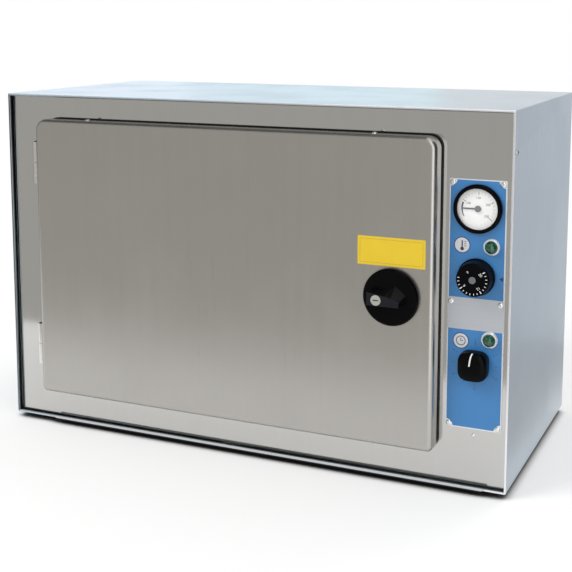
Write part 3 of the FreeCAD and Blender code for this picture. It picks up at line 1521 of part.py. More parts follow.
def make_latch():
    """The spindle, with the cam that turns behind the front panel and the cam's nut."""
    at = ("handle_x", "handle_z")
    neck = "door_back + boss_nut_height"
    end = "cam_back + cam_nut_height"
    node("handle_spindle", fuse(
        "handle_spindle",
        rod("spindle_bar", "spindle_diameter", "y", ("lever_back - lever_socket", neck), at),
        rod("spindle_neck_bar", "spindle_neck", "y", (neck, "cam_front"), at),
        rod("spindle_thread_bar", "spindle_thread", "y", ("cam_front", end), at),
    ))
    arm = "(cam_length - cam_width) / 2"
    deep = ("cam_front", "cam_back")
    blade = fuse(
        "cam_blade",
        box("cam_bar", (f"handle_x - {arm}", f"handle_x + {arm}"), deep,
            ("handle_z - cam_width / 2", "handle_z + cam_width / 2")),
        rod("cam_end_left", "cam_width", "y", deep, (f"handle_x - {arm}", "handle_z")),
        rod("cam_end_right", "cam_width", "y", deep, (f"handle_x + {arm}", "handle_z")),
    )
    around = ("cam_front - 1", f"{end} + 1")
    thread = "spindle_thread + shaft_clearance"
    node("latch_cam", cut("latch_cam", blade, rod("cam_bore", thread, "y", around, at)))
    nut = hexagon("cam_nut_hex", "cam_nut", "y", ("cam_back", end), at)
    node("cam_nut", cut("cam_nut", nut, rod("cam_nut_bore", thread, "y", around, at)))


# The whole apparatus

make_casing()
make_base_tray()
make_feet()
make_front_panel()
make_latch_keeper()
make_back_panel()
make_casing_screws()
make_chamber()
make_insulation()
make_heater("heater_lower", LOWER_HEATER_Z)
make_heater("heater_upper", UPPER_HEATER_Z)
make_heater_clips()
make_shelf_rack("shelf_rack_left", "chamber_left", 1)
make_shelf_rack("shelf_rack_right", "chamber_right", -1)
make_shelf("shelf_lower", 1)
make_shelf("shelf_upper", 3)
make_divider()
make_conduit()
make_sensor("thermometer_bulb", ("control_x", "gauge_back - gauge_wall", "gauge_z"), "0")
make_sensor("thermostat_bulb",
            ("control_x - thermostat_width / 4", "thermostat_back", "thermostat_z"),
            "conduit_z - bulb_spacing / 2 - thermostat_z")
make_control_plate()
make_thermometer()
make_pilot_lamps()
make_instruments()
make_knobs()
make_compartment_fittings()
make_rear_fittings()
make_gasket()
make_door_skin()
make_door_liner()
make_door_pad()
make_door_screws()
make_hinges()
make_rosette()
make_lever()
make_lock()
make_latch()
doc.recompute()

faulty = [item.Name for item in doc.Objects if {"Invalid", "Error"} & set(item.State)]
for name, item in NODES:
    if item.Shape.isNull() or not item.Shape.isValid() or not item.Shape.Solids:
        faulty.append(name)
if faulty:
    raise RuntimeError("These came out wrong: " + ", ".join(faulty))

os.makedirs("parts", exist_ok=True)
for name, item in NODES:
    item.Shape.exportStep(f"parts/{name}.step")
whole = FreeCAD.BoundBox()
for name, item in NODES:
    whole.add(item.Shape.BoundBox)
print(f"{len(NODES)} sub-parts")
print(f"{whole.XLength:.1f} x {whole.YLength:.1f} x {whole.ZLength:.1f} mm")
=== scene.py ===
from math import pi, radians

import bmesh
import bpy
import numpy as np
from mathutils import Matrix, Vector


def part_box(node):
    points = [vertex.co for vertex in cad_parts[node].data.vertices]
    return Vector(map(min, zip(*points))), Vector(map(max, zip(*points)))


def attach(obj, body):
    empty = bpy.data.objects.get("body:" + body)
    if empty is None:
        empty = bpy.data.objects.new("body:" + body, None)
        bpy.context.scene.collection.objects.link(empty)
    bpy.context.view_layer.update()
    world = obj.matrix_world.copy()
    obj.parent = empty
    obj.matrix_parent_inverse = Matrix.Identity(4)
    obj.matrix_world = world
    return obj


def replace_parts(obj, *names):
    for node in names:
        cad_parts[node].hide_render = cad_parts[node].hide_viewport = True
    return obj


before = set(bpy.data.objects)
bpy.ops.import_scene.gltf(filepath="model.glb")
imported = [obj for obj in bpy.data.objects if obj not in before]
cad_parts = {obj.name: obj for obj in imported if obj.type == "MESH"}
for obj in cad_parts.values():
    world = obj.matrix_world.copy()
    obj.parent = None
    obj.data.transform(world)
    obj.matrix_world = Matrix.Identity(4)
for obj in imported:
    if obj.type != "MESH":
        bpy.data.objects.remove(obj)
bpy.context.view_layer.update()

# Camera, lights and floor.
# A plain studio: a pale floor that runs to a white background, one broad soft lamp from the
# front left, weaker fill lamps, and cards round the part that only its polished steel reflects.

MM = 0.001


def corners_of(node):
    """A node's lowest and highest corner in millimetres."""
    return np.array(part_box(node)) / MM


CAMERA_TURN = radians(24.33)
CAMERA_TILT = radians(7.77)
CAMERA_DISTANCE = 1.408
case_low, case_high = corners_of("casing_wrap")
CAMERA_TARGET = Vector((-8.0, (case_low[1] + case_high[1]) / 2, 308.4)) * MM
CAMERA_LENS = 71.8
CAMERA_SHIFT = -0.2

eye = CAMERA_TARGET + CAMERA_DISTANCE * Vector((
    np.sin(CAMERA_TURN) * np.cos(CAMERA_TILT),
    -np.cos(CAMERA_TURN) * np.cos(CAMERA_TILT),
    np.sin(CAMERA_TILT),
))
camera = bpy.data.objects.new("camera", bpy.data.cameras.new("camera"))
camera.data.sensor_width = 36.0
camera.data.lens = CAMERA_LENS
camera.data.shift_y = CAMERA_SHIFT
camera.location = eye
camera.rotation_euler = (CAMERA_TARGET - eye).to_track_quat("-Z", "Y").to_euler()
bpy.context.scene.collection.objects.link(camera)
bpy.context.scene.camera = camera
bpy.context.scene.view_settings.view_transform = "Standard"


class Wire:
    """A number or colour on its way through a shader, with sums written as in arithmetic."""

    def __init__(self, finish, socket):
        self.finish = finish
        self.socket = socket

    def sum(self, operation, first, second):
        return self.finish.node("Math", {0: first, 1: second}, operation=operation)

    def __add__(self, other):
        return self.sum("ADD", self, other)

    def __sub__(self, other):
        return self.sum("SUBTRACT", self, other)

    def __rsub__(self, other):
        return self.sum("SUBTRACT", other, self)

    def __mul__(self, other):
        return self.sum("MULTIPLY", self, other)

    def __gt__(self, other):
        return self.sum("GREATER_THAN", self, other)

    def __abs__(self):
        return self.sum("ABSOLUTE", self, 0.0)

    __radd__ = __add__
    __rmul__ = __mul__


class Finish:
    """A surface finish: a material whose nodes are laid by one method."""

    def __init__(self, name, **constants):
        self.material = bpy.data.materials.new(name)
        self.material.use_nodes = True
        self.tree = self.material.node_tree
        self.shader = self.tree.nodes["Principled BSDF"]
        for word, number in constants.items():
            socket = word.replace("_", " ").title().replace("Ior", "IOR")
            self.shader.inputs[socket].default_value = number

    def node(self, kind, inputs=None, out=0, stops=None, **settings):
        """Adds a node: settings first, then a ramp's stops, then its sockets."""
        node = self.tree.nodes.new("ShaderNode" + kind)
        for word, setting in settings.items():
            setattr(node, word, setting)
        if stops:
            ramp = node.color_ramp.elements
            while len(ramp) < len(stops):
                ramp.new(0.5)
            for mark, (spot, colour) in zip(ramp, stops):
                mark.position = spot
                mark.color = (*colour, 1.0)
        for key, given in (inputs or {}).items():
            if isinstance(given, Wire):
                self.tree.links.new(given.socket, node.inputs[key])
            else:
                node.inputs[key].default_value = given
        return Wire(self, node.outputs[out])

    def feed(self, socket, wire):
        self.tree.links.new(wire.socket, self.shader.inputs[socket])

    def place(self):
        """The point on the object in millimetres, whole and as three separate numbers."""
        point = self.node("TexCoord", out=3)
        point = self.scale(point, 1 / MM)
        return point, self.part(point, 0), self.part(point, 1), self.part(point, 2)

    def part(self, vector, out):
        return self.node("SeparateXYZ", {0: vector}, out=out)

    def join(self, x, y, z):
        return self.node("CombineXYZ", {0: x, 1: y, 2: z})

    def noise(self, vector, scale, detail=2.0, rough=0.5):
        return self.node("TexNoise", {"Vector": vector, "Scale": scale, "Detail": detail,
                                      "Roughness": rough})

    def scale(self, vector, factor):
        return self.node("VectorMath", {0: vector, 3: factor}, operation="SCALE")

    def mix(self, factor, first, second):
        first = first if isinstance(first, Wire) else (*first, 1.0)
        second = second if isinstance(second, Wire) else (*second, 1.0)
        return self.node("Mix", {0: factor, 6: first, 7: second}, out=2, data_type="RGBA")

    def step(self, value, low, high):
        """Runs smoothly from 0 at one value to 1 at the other."""
        return self.node("MapRange", {0: value, 1: low, 2: high}, interpolation_type="SMOOTHSTEP")

    def bump(self, height, depth, base=None):
        """Raises the surface by a height from 0 to 1 times a depth in millimetres."""
        inputs = {"Height": height, "Distance": depth * MM, "Strength": 1.0}
        if base:
            inputs["Normal"] = base
        return self.node("Bump", inputs)


def paint(finish, *names):
    """Gives CAD nodes a finish."""
    for name in names:
        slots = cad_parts[name].data.materials
        slots.clear()
        slots.append(finish.material)


def seen_rays(tree):
    """1 for the rays that only see a surface, from the camera or by way of gloss or glass."""
    path = tree.nodes.new("ShaderNodeLightPath")
    last = path.outputs["Is Camera Ray"]
    for word in ("Is Glossy Ray", "Is Transmission Ray"):
        either = tree.nodes.new("ShaderNodeMath")
        either.operation = "MAXIMUM"
        tree.links.new(last, either.inputs[0])
        tree.links.new(path.outputs[word], either.inputs[1])
        last = either.outputs[0]
    return last


PAINTED_SHADOW_REACH = 0.014
FLOOR_NEAR, FLOOR_FAR = 620.0, 1500.0


def floor_finish():
    """Matt white, darkened by ambient occlusion into a painted contact shadow round what stands on
    it; plain white far out.
    """
    floor = Finish("studio_floor", specular_ior_level=0.0, emission_strength=1.0)
    point = floor.place()[0]
    away = floor.node("VectorMath", {0: point}, out=1, operation="LENGTH")
    seen = Wire(floor, seen_rays(floor.tree))
    far = floor.step(away, FLOOR_NEAR, FLOOR_FAR) * seen
    cloud = floor.noise(point, 0.004, 2.0)
    open_air = floor.node("AmbientOcclusion", {"Distance": PAINTED_SHADOW_REACH}, out=1, samples=12)
    outside_painted_shadow = floor.step(open_air, 0.3, 0.9)
    # Near the object the base colour is dark where ambient occlusion finds contact: a painted
    # shadow.
    near = floor.mix(outside_painted_shadow, (0.05, 0.05, 0.05), (0.68, 0.68, 0.68))
    lift = floor.scale((0.30, 0.30, 0.30), outside_painted_shadow * seen)
    floor.feed("Base Color", floor.mix(far, near, (0.0, 0.0, 0.0)))
    floor.feed("Emission Color", floor.mix(far, lift, (1.0, 1.0, 1.0)))
    floor.feed("Roughness", cloud * 0.05 + 0.9)
    return floor


def stage_plane(name, corners, finish):
    mesh = bpy.data.meshes.new(name)
    mesh.from_pydata(corners, [], [(0, 1, 2, 3)])
    mesh.materials.append(finish.material)
    plane = bpy.data.objects.new(name, mesh)
    bpy.context.scene.collection.objects.link(plane)
    return plane


FLOOR_HALF = 12.0
stage_plane("studio_floor", [(x * FLOOR_HALF, y * FLOOR_HALF, 0)
                             for x, y in ((-1, -1), (1, -1), (1, 1), (-1, 1))], floor_finish())


def reflector(name, corners, colour):
    """A plain card that is seen only in reflections."""
    paper = Finish(name, roughness=1.0, emission_strength=1.0)
    paper.shader.inputs["Base Color"].default_value = (0.0, 0.0, 0.0, 1.0)
    paper.shader.inputs["Emission Color"].default_value = (*colour, 1.0)
    card = stage_plane(name, corners, paper)
    for ray in ("camera", "diffuse", "transmission", "volume_scatter", "shadow"):
        setattr(card, "visible_" + ray, False)


CARD_FOOT, CARD_HEAD, CARD_TOP = -0.49, -0.8, 1.6


def front_reflector(name, left, right, colour):
    """A card that stands on the floor in front and leans away up to the height of the others."""
    reflector(name, [(left, CARD_FOOT, 0.004), (right, CARD_FOOT, 0.004),
                     (right, CARD_HEAD, CARD_TOP), (left, CARD_HEAD, CARD_TOP)], colour)


def upright(name, start, end, low, high, colour):
    """An upright card between two points of the floor plan."""
    reflector(name, [(*start, low), (*end, low), (*end, high), (*start, high)], colour)


front_reflector("front_card", -3.2, 0.33, (0.53, 0.52, 0.495))
front_reflector("bright_card", 0.33, 0.75, (1.7, 1.7, 1.7))
reflector("right_card", [(0.75, CARD_FOOT, 0.0), (1.5, 0.35, 0.0), (1.5, 0.35, CARD_TOP),
                         (0.75, CARD_HEAD, CARD_TOP)], (0.04, 0.04, 0.05))
reflector("upper_card", [(-3.2, CARD_HEAD, CARD_TOP), (0.12, CARD_HEAD, CARD_TOP),
                         (0.12, 1.7, CARD_TOP), (-3.2, 1.7, CARD_TOP)], (0.12, 0.12, 0.12))
upright("side_card", (0.36, 0.45), (2.8, 0.6), 0.0, 2.0, (0.61, 0.62, 0.65))
reflector("side_floor_card", [(0.34, -0.16, 0.003), (2.8, -0.16, 0.003), (2.8, 0.6, 0.003),
                              (0.34, 0.45, 0.003)], (0.50, 0.50, 0.51))
upright("left_card", (-1.6, CARD_FOOT), (-1.6, 1.5), 0.0, CARD_TOP, (0.35, 0.35, 0.35))
upright("back_card_left", (-3.6, 2.6), (-1.6, 2.6), 0.2, 2.4, (1.28, 1.36, 1.46))
upright("back_card", (-1.6, 2.6), (-0.6, 2.6), 0.2, 2.4, (1.08, 1.22, 1.28))

LAMP_AIM = Vector((0, 0, 0.2))


def lamp(name, place, size, power):
    light = bpy.data.lights.new(name, "AREA")
    light.shape = "DISK"
    light.size = size
    light.energy = power
    holder = bpy.data.objects.new(name, light)
    holder.location = place
    holder.rotation_euler = (LAMP_AIM - Vector(place)).to_track_quat("-Z", "Y").to_euler()
    holder.visible_glossy = False
    bpy.context.scene.collection.objects.link(holder)


lamp("key_lamp", (-1.3, -1.7, 2.1), 1.4, 34)
lamp("fill_lamp", (1.9, -1.2, 1.3), 1.6, 12)
lamp("rear_lamp", (0.8, 2.0, 2.2), 1.8, 16)

world = bpy.data.worlds.new("studio")
bpy.context.scene.world = world
world.use_nodes = True
sky = world.node_tree.nodes["Background"]
WORLD_LIGHT = 0.72
brighter = world.node_tree.nodes.new("ShaderNodeMapRange")
brighter.inputs["To Min"].default_value = WORLD_LIGHT
brighter.inputs["To Max"].default_value = 1.0
world.node_tree.links.new(seen_rays(world.node_tree), brighter.inputs["Value"])
world.node_tree.links.new(brighter.outputs[0], sky.inputs["Strength"])
sky.inputs["Color"].default_value = (1.0, 1.0, 1.0, 1.0)


# Casing.
# One stainless sheet folded round four sides, with the grain of its brushing running round
# the folds. A hem stiffens the front edge, and the rear edge is turned in for the back panel.

def brushed(name, colour, rough, grain, band=0.05, scratch=0.004, waves=0.0):
    """Steel with fine lines along one way: 'x', 'z', or 'wrap' for lines round the folds."""
    steel = Finish(name, metallic=1.0)
    point, x, y, z = steel.place()
    if grain == "wrap":
        normal = steel.node("TexCoord", out=1)
        side = abs(steel.part(normal, 0)) > 0.7
        along = side * z + (1.0 - side) * x
        across = y
    elif grain == "z":
        along = z
        across = x + y
    else:
        along = x
        across = z + y
    fine = steel.noise(steel.join(along * 0.02, across * 3.1, 0.0), 1.0, 3.0, 0.7)
    broad = steel.noise(steel.join(along * 0.004, across * 0.11, 4.0), 1.0, 2.0)
    cloud = steel.noise(point, 0.012, 3.0)
    tone = 1.0 + (fine - 0.5) * band + (broad - 0.5) * band + (cloud - 0.5) * (band * 0.8)
    steel.colour = steel.scale(colour, tone)
    steel.feed("Base Color", steel.colour)
    smudge = steel.step(cloud, 0.42, 0.72)
    steel.feed("Roughness", (fine - 0.5) * 0.16 + (broad - 0.5) * 0.08 + smudge * 0.05 + rough)
    relief = steel.bump(fine, scratch)
    if waves:
        relief = steel.bump(steel.noise(point, 0.006, 1.0), waves, relief)
    steel.feed("Normal", relief)
    return steel


# The blue in the casing's colour is a painted reflection of bluish surroundings.
case_steel = brushed("casing_steel", (0.54, 0.62, 0.68), 0.30, "wrap", waves=0.5)
HEM_SHEET = 2.4
MOUTH_FRONT, CASE_TOP = float(case_low[1]), float(case_high[2])


def painted_hem_shade():
    """Painted shade: 1 on the rear half of the front hem's inner faces at the left and below, less
    towards the right, and 0.75 on the left hem's front face.
    """
    step = case_steel.step
    x, y, z = case_steel.place()[1:]
    left, floor = case_low[0] + HEM_SHEET, case_low[2] + HEM_SHEET
    inside = step(x, left - 0.1, left - 0.05) * step(z, floor - 0.1, floor - 0.05)
    on_left, on_floor = step(x, left + 0.1, left + 0.05), step(z, floor + 0.1, floor + 0.05)
    edges = 1.0 - (1.0 - on_left) * (1.0 - on_floor)
    deep = (step(y, MOUTH_FRONT + 2.2, MOUTH_FRONT + 2.6)
            * step(y, MOUTH_FRONT + 5.4, MOUTH_FRONT + 5.3))
    outer = step(x, left - 0.2, left - 0.5) * step(y, MOUTH_FRONT + 1.3, MOUTH_FRONT + 0.9)
    return inside * edges * deep * (1.0 - step(x, -80.0, 260.0) * 0.55) + outer * 0.75


def hem_painted_highlight():
    """Painted highlight: 1 on the hem's front, more to the right, where it is painted bright, and 1
    on its top edge, which is made less metallic so that it shows as a bright line.
    """
    step = case_steel.step
    x, y, z = case_steel.place()[1:]
    painted_sheen = step(y, MOUTH_FRONT + 0.6, MOUTH_FRONT + 0.4) * step(x, -120.0, 200.0)
    painted_edge_glint = (step(y, MOUTH_FRONT + 0.9, MOUTH_FRONT + 0.5)
             * step(z, CASE_TOP - 1.4, CASE_TOP - 0.6))
    return painted_sheen, painted_edge_glint


# The hem's front is painted bright and its top edge is made less metallic to show a bright line:
# both are painted highlights.
painted_sheen, painted_edge_glint = hem_painted_highlight()
with_painted_sheen = case_steel.mix(painted_sheen, case_steel.colour, (0.88, 0.88, 0.92))
# Painted shade darkens the hem's inner faces nearly to black, and a painted sheen brightens the
# hem's front.
case_steel.feed("Base Color", case_steel.mix(painted_hem_shade(), with_painted_sheen, (0.018, 0.018, 0.019)))
case_steel.feed("Metallic", 1.0 - painted_edge_glint * 0.75)


def add_piece(name, mesh, finish, body):
    """Puts a mesh in the scene as a finished piece that rides on a body."""
    mesh.materials.append(finish.material)
    piece = bpy.data.objects.new(name, mesh)
    bpy.context.scene.collection.objects.link(piece)
    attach(piece, body)
    return piece


def eased(name, node, width, finish, body, pick=None, segments=2, ceiling=None):
    """A copy of a node, cut down to a ceiling, its triangles merged, its sharp edges bevelled."""
    work = bmesh.new()
    work.from_mesh(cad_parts[node].data)
    if ceiling is not None:
        for vert in work.verts:
            vert.co.z = min(vert.co.z, ceiling * MM)
    bmesh.ops.remove_doubles(work, verts=work.verts, dist=1e-6)
    bmesh.ops.dissolve_limit(work, angle_limit=radians(0.5), verts=work.verts, edges=work.edges)
    sharp = [edge for edge in work.edges
             if len(edge.link_faces) == 2 and edge.calc_face_angle() > radians(24)
             and (pick is None or all(pick(vert.co) for vert in edge.verts))]
    bmesh.ops.bevel(work, geom=sharp, offset=width * MM, offset_type="OFFSET", segments=segments,
                    profile=0.5, affect="EDGES", clamp_overlap=True)
    bmesh.ops.triangulate(work, faces=work.faces)
    mesh = bpy.data.meshes.new(name)
    work.to_mesh(mesh)
    work.free()
    mesh.shade_smooth()
    mesh.set_sharp_from_angle(angle=radians(50))
    piece = add_piece(name, mesh, finish, body)
    even = piece.modifiers.new("even_normals", "WEIGHTED_NORMAL")
    even.keep_sharp = True
    even.weight = 100
    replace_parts(piece, node)


eased("casing_shell", "casing_wrap", 0.7, case_steel, "cabinet",
      lambda spot: spot.y / MM < MOUTH_FRONT + 0.05, 3)

# Base tray and feet.
# A tray under the casing turns up in a low lip in front of the casing's lower edge. Four
# rubber feet are held by screws that sit in a recess in each.

tray_steel = brushed("tray_steel", (0.62, 0.65, 0.68), 0.26, "x")
tray_low = float(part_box("base_tray")[0][2] / MM)
LIP_RISE = 3.2
# The lower part of the tray's lip is painted nearly black: painted shade under the lip.
lip_painted_shade = tray_steel.step(tray_steel.place()[3], tray_low + 2.6, tray_low + 1.9)
tray_steel.feed("Base Color", tray_steel.mix(lip_painted_shade, tray_steel.colour, (0.03, 0.03, 0.032)))
eased("tray_shell", "base_tray", 0.3, tray_steel, "cabinet",
      lambda spot: spot.z / MM > tray_low + 3.0 and spot.y / MM < MOUTH_FRONT - 1.0,
      ceiling=case_low[2] + LIP_RISE)


def grained(name, colour, rough, size, depth, **constants):
    """Moulded plastic or rubber: an even fine grain and slight changes of sheen."""
    moulding = Finish(name, **constants)
    point = moulding.place()[0]
    pebble = moulding.noise(point, size, 4.0, 0.6)
    cloud = moulding.noise(point, 0.05, 3.0)
    tone = 1.0 + (cloud - 0.5) * 0.3 + (pebble - 0.5) * 0.15
    moulding.feed("Base Color", moulding.scale(colour, tone))
    moulding.feed("Roughness", (cloud - 0.5) * 0.15 + (pebble - 0.5) * 0.1 + rough)
    moulding.feed("Normal", moulding.bump(pebble, depth))
    return moulding


paint(grained("foot_rubber", (0.028, 0.028, 0.030), 0.72, 2.2, 0.03), "feet")


def plated(name, colour, rough, metal=1.0):
    """Bright plate on small hardware, dulled a little in patches."""
    plate = Finish(name, metallic=metal)
    point = plate.place()[0]
    cloud = plate.noise(point, 0.25, 3.0)
    fine = plate.noise(point, 4.0, 2.0)
    tone = 1.0 + (cloud - 0.5) * 0.2
    plate.feed("Base Color", plate.scale(colour, tone))
    plate.feed("Roughness", plate.step(cloud, 0.45, 0.75) * 0.14 + (fine - 0.5) * 0.06 + rough)
    plate.feed("Normal", plate.bump(fine, 0.004))
    return plate


zinc = plated("zinc_plate", (0.90, 0.90, 0.89), 0.2)
paint(zinc, "foot_screws")

# Front panel.
# Bright polished stainless sheet, set back in the casing's mouth, with turned edges that are
# screwed to the casing's sides. Its polish runs up and down.

polished_steel = brushed("polished_steel", (0.57, 0.565, 0.55), 0.09, "z", band=0.04,
                         scratch=0.002, waves=0.6)
paint(polished_steel, "front_panel")

# Back panel, rear fittings and the casing's screws.
# A flat plate on the rear edge has cooling slots behind the controls, a cable gland with its
# nut, and the end of the chamber's vent tube. Pan head screws with a cross recess hold it.

paint(brushed("back_steel", (0.60, 0.63, 0.66), 0.34, "x"), "back_panel")
paint(grained("gland_nylon", (0.030, 0.030, 0.033), 0.46, 1.6, 0.02), "cable_gland", "gland_nut")
paint(brushed("tube_steel", (0.62, 0.61, 0.59), 0.28, "z"), "vent_tube")


def new_piece(name, points, faces, finish, body, slot, smooth=35.0):
    """Makes a piece of an array of points and one of faces, and has it ride on a body."""
    mesh = bpy.data.meshes.new(name)
    mesh.from_pydata(points.reshape(-1, 3), [], faces.reshape(-1, faces.shape[-1]).tolist())
    work = bmesh.new()
    work.from_mesh(mesh)
    bmesh.ops.remove_doubles(work, verts=work.verts, dist=1e-6)
    bmesh.ops.dissolve_degenerate(work, edges=work.edges, dist=1e-7)
    bmesh.ops.recalc_face_normals(work, faces=work.faces)
    work.to_mesh(mesh)
    work.free()
    mesh.shade_smooth()
    mesh.set_sharp_from_angle(angle=radians(smooth))
    return add_piece(name, mesh, finish, body)


def skin(rows, columns):
    """Quads between the neighbours in a grid of points whose rows are closed rings."""
    index = np.arange(rows * columns).reshape(rows, columns)
    index = np.concatenate([index, index[:, :1]], axis=1)
    return np.stack([index[:-1, :-1], index[:-1, 1:], index[1:, 1:], index[1:, :-1]], axis=-1)


# The way a piece faces: outwards, then the two directions across it.
FRONTWARDS = np.array([(0, -1, 0), (1, 0, 0), (0, 0, 1)], float)
REARWARDS = np.array([(0, 1, 0), (-1, 0, 0), (0, 0, 1)], float)
SCREW_HEAD, SCREW_HEIGHT, SCREW_REACH = 5.6, 1.8, 0.012


def middle(node):
    return np.mean(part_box(node), axis=0)


def clusters(node):
    """Middles of the separate solids of a node, found as groups of nearby points."""
    points = np.array([vertex.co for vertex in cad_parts[node].data.vertices])
    spots = []
    while len(points):
        near = np.linalg.norm(points - points[0], axis=1) < SCREW_REACH
        group = points[near]
        spots.append((group.min(axis=0) + group.max(axis=0)) / 2)
        points = points[~near]
    return np.array(spots)


def screw_heads(name, node, facing):
    """Pan heads: height(r) = h (1 - 0.45 (r/R)^4), less a cross recess 0.55 h deep."""
    out, right, up = facing
    rings = np.concatenate([np.linspace(0, 0.62, 16), np.linspace(0.7, 1.0, 8)])
    turns = np.linspace(0, 2 * pi, 64, endpoint=False)
    ring, turn = np.meshgrid(rings, turns, indexing="ij")
    radius = SCREW_HEAD / 2 * MM
    across, along = ring * np.cos(turn), ring * np.sin(turn)
    narrow, wide = np.minimum(abs(across), abs(along)), np.maximum(abs(across), abs(along))
    recess = np.clip((0.17 - narrow) / 0.05, 0, 1) * np.clip((0.6 - wide) / 0.1, 0, 1)
    rise = SCREW_HEIGHT * MM * (1 - 0.45 * ring ** 4 - 0.55 * recess)
    flat = np.stack([across * radius, along * radius], axis=-1)
    top = flat[..., :1] * right + flat[..., 1:] * up + rise[..., None] * out
    foot = top[-1] - rise[-1][:, None] * out
    head_points = np.concatenate([top, foot[None]])
    faces = skin(*head_points.shape[:2])
    seats = clusters(node)
    edge = (np.array(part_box(node)) @ out).max() - SCREW_HEIGHT * MM
    seats = seats + (edge - seats @ out)[:, None] * out
    points = seats[:, None, None, :] + head_points[None]
    shift = np.arange(len(seats))[:, None, None, None] * head_points[..., 0].size
    piece = new_piece(name, points, faces[None] + shift, zinc, "cabinet", "steel_plated")
    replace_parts(piece, node)


screw_heads("back_screw_heads", "back_panel_screws", REARWARDS)
screw_heads("plate_screw_heads", "control_plate_screws", FRONTWARDS)
paint(zinc, "door_screws", "panel_rivet")
paint(plated("case_screw_plate", (0.62, 0.63, 0.65), 0.2), "casing_screws")

# Chamber, shelf racks and shelves.
# A drawn stainless box with rounded corners, two side racks with channels, and aluminium
# shelves with rows of slots that let the hot air rise.

chamber_steel = brushed("chamber_steel", (0.58, 0.57, 0.55), 0.36, "x", band=0.08)
paint(chamber_steel, "chamber", "shelf_rack_left", "shelf_rack_right")
paint(brushed("shelf_aluminium", (0.74, 0.74, 0.73), 0.38, "x", band=0.1),
      "shelf_lower", "shelf_upper")

# Insulation, heaters and their clips.
# Mineral wool fills the space round the chamber. The tubular heaters lie under and over the
# chamber, brown from heat, held by bridge clips.


def wool_finish():
    wool = Finish("mineral_wool", roughness=0.95)
    point = wool.place()[0]
    drawn_out = wool.node("Mapping", {"Vector": point, "Scale": (0.2, 1.4, 1.4)})
    strand = wool.noise(drawn_out, 1.0, 6.0, 0.7)
    tuft = wool.noise(point, 0.06, 3.0)
    tone = 0.8 + strand * 0.3 + (tuft - 0.5) * 0.3
    wool.feed("Base Color", wool.scale((0.62, 0.55, 0.34), tone))
    wool.feed("Normal", wool.bump(strand, 0.8))
    return wool


paint(wool_finish(), "chamber_insulation", "door_insulation")


def scaled_steel():
    sheath = Finish("heater_sheath", metallic=1.0)
    point = sheath.place()[0]
    cloud = sheath.noise(point, 0.08, 4.0)
    tints = [(0.3, (0.20, 0.16, 0.14)), (0.6, (0.34, 0.27, 0.21))]
    sheath.feed("Base Color", sheath.node("ValToRGB", {0: cloud}, stops=tints))
    sheath.feed("Roughness", cloud * 0.3 + 0.35)
    sheath.feed("Normal", sheath.bump(sheath.noise(point, 1.5, 3.0), 0.02))
    return sheath


paint(scaled_steel(), "heater_lower", "heater_upper")
galvanised = plated("galvanised_sheet", (0.58, 0.60, 0.61), 0.38)
paint(galvanised, "heater_clips", "compartment_divider", "bulb_conduit", "latch_keeper")
paint(plated("copper_capillary", (0.72, 0.40, 0.26), 0.28), "thermometer_bulb", "thermostat_bulb")

# Control plate.
# An aluminium plate printed blue, with bare concave corners round its screws, a bare band
# across the middle and a thin bare edge.

CORNER_ARC = 7.9, 8.15
BARE_EDGE = 1.0
BAND_LOW, BAND_HIGH = 106.2, 140.1


def printed_plate():
    (left, _, bottom), (right, _, top) = corners_of("control_plate")
    plate = Finish("printed_plate", coat_roughness=0.12)
    point, x, y, z = plate.place()
    grain = plate.noise(plate.join(x * 0.03, y, z * 3.0), 1.0, 3.0, 0.7)
    corner = None
    for corner_x in (left, right):
        for corner_z in (bottom, top):
            away = plate.node("VectorMath", {0: plate.join(x - corner_x, z - corner_z, 0.0)},
                              out=1, operation="LENGTH")
            inside = plate.step(away, *CORNER_ARC)
            corner = inside if corner is None else corner * inside
    inner = (plate.step(x, left + BARE_EDGE - 0.1, left + BARE_EDGE + 0.1)
             * plate.step(x, right - BARE_EDGE + 0.1, right - BARE_EDGE - 0.1)
             * plate.step(z, bottom + BARE_EDGE - 0.1, bottom + BARE_EDGE + 0.1)
             * plate.step(z, top - BARE_EDGE + 0.1, top - BARE_EDGE - 0.1))
    band = (plate.step(z, bottom + BAND_LOW, bottom + BAND_LOW + 0.2)
            * plate.step(z, bottom + BAND_HIGH, bottom + BAND_HIGH - 0.2))
    ink = corner * inner * (1.0 - band)
    cloud = plate.noise(point, 0.03, 2.0)
    blue = plate.mix(cloud, (0.032, 0.196, 0.475), (0.039, 0.214, 0.51))
    bare = plate.mix(band, (0.80, 0.82, 0.85), (0.60, 0.63, 0.68))
    metal = plate.scale(bare, grain * 0.2 + 0.9)
    plate.feed("Base Color", plate.mix(ink, metal, blue))
    plate.feed("Metallic", (1.0 - ink) * (0.35 + band * 0.35))
    plate.feed("Roughness", ink * 0.06 + 0.30 + (grain - 0.5) * 0.1)
    plate.feed("Coat Weight", ink * 0.35)
    plate.feed("Normal", plate.bump(ink, 0.02, plate.bump(grain, 0.003)))
    return plate


paint(printed_plate(), "control_plate")
PLATE_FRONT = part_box("control_plate")[0][1]

# Thermometer.
# A black bezel holds a clear pane over a white enamelled dial with printed marks. The needle
# turns on a pin with a grey hub. Its bulb is in the chamber.


def soften(points, radius, steps=5):
    """Rounds each inner corner C between A and B by (1-t)^2 A + 2t(1-t) C + t^2 B."""
    points = np.array(points, float)
    curve = [points[:1]]
    share = np.linspace(0, 1, steps)[:, None]
    for before, corner, after in zip(points, points[1:], points[2:]):
        legs = [before - corner, after - corner]
        lengths = [np.linalg.norm(leg) for leg in legs]
        reach = min(radius, *(0.45 * length for length in lengths))
        start, end = (corner + leg / length * reach for leg, length in zip(legs, lengths))
        curve.append((1 - share) ** 2 * start + 2 * share * (1 - share) * corner + share ** 2 * end)
    curve.append(points[-1:])
    return np.concatenate(curve)


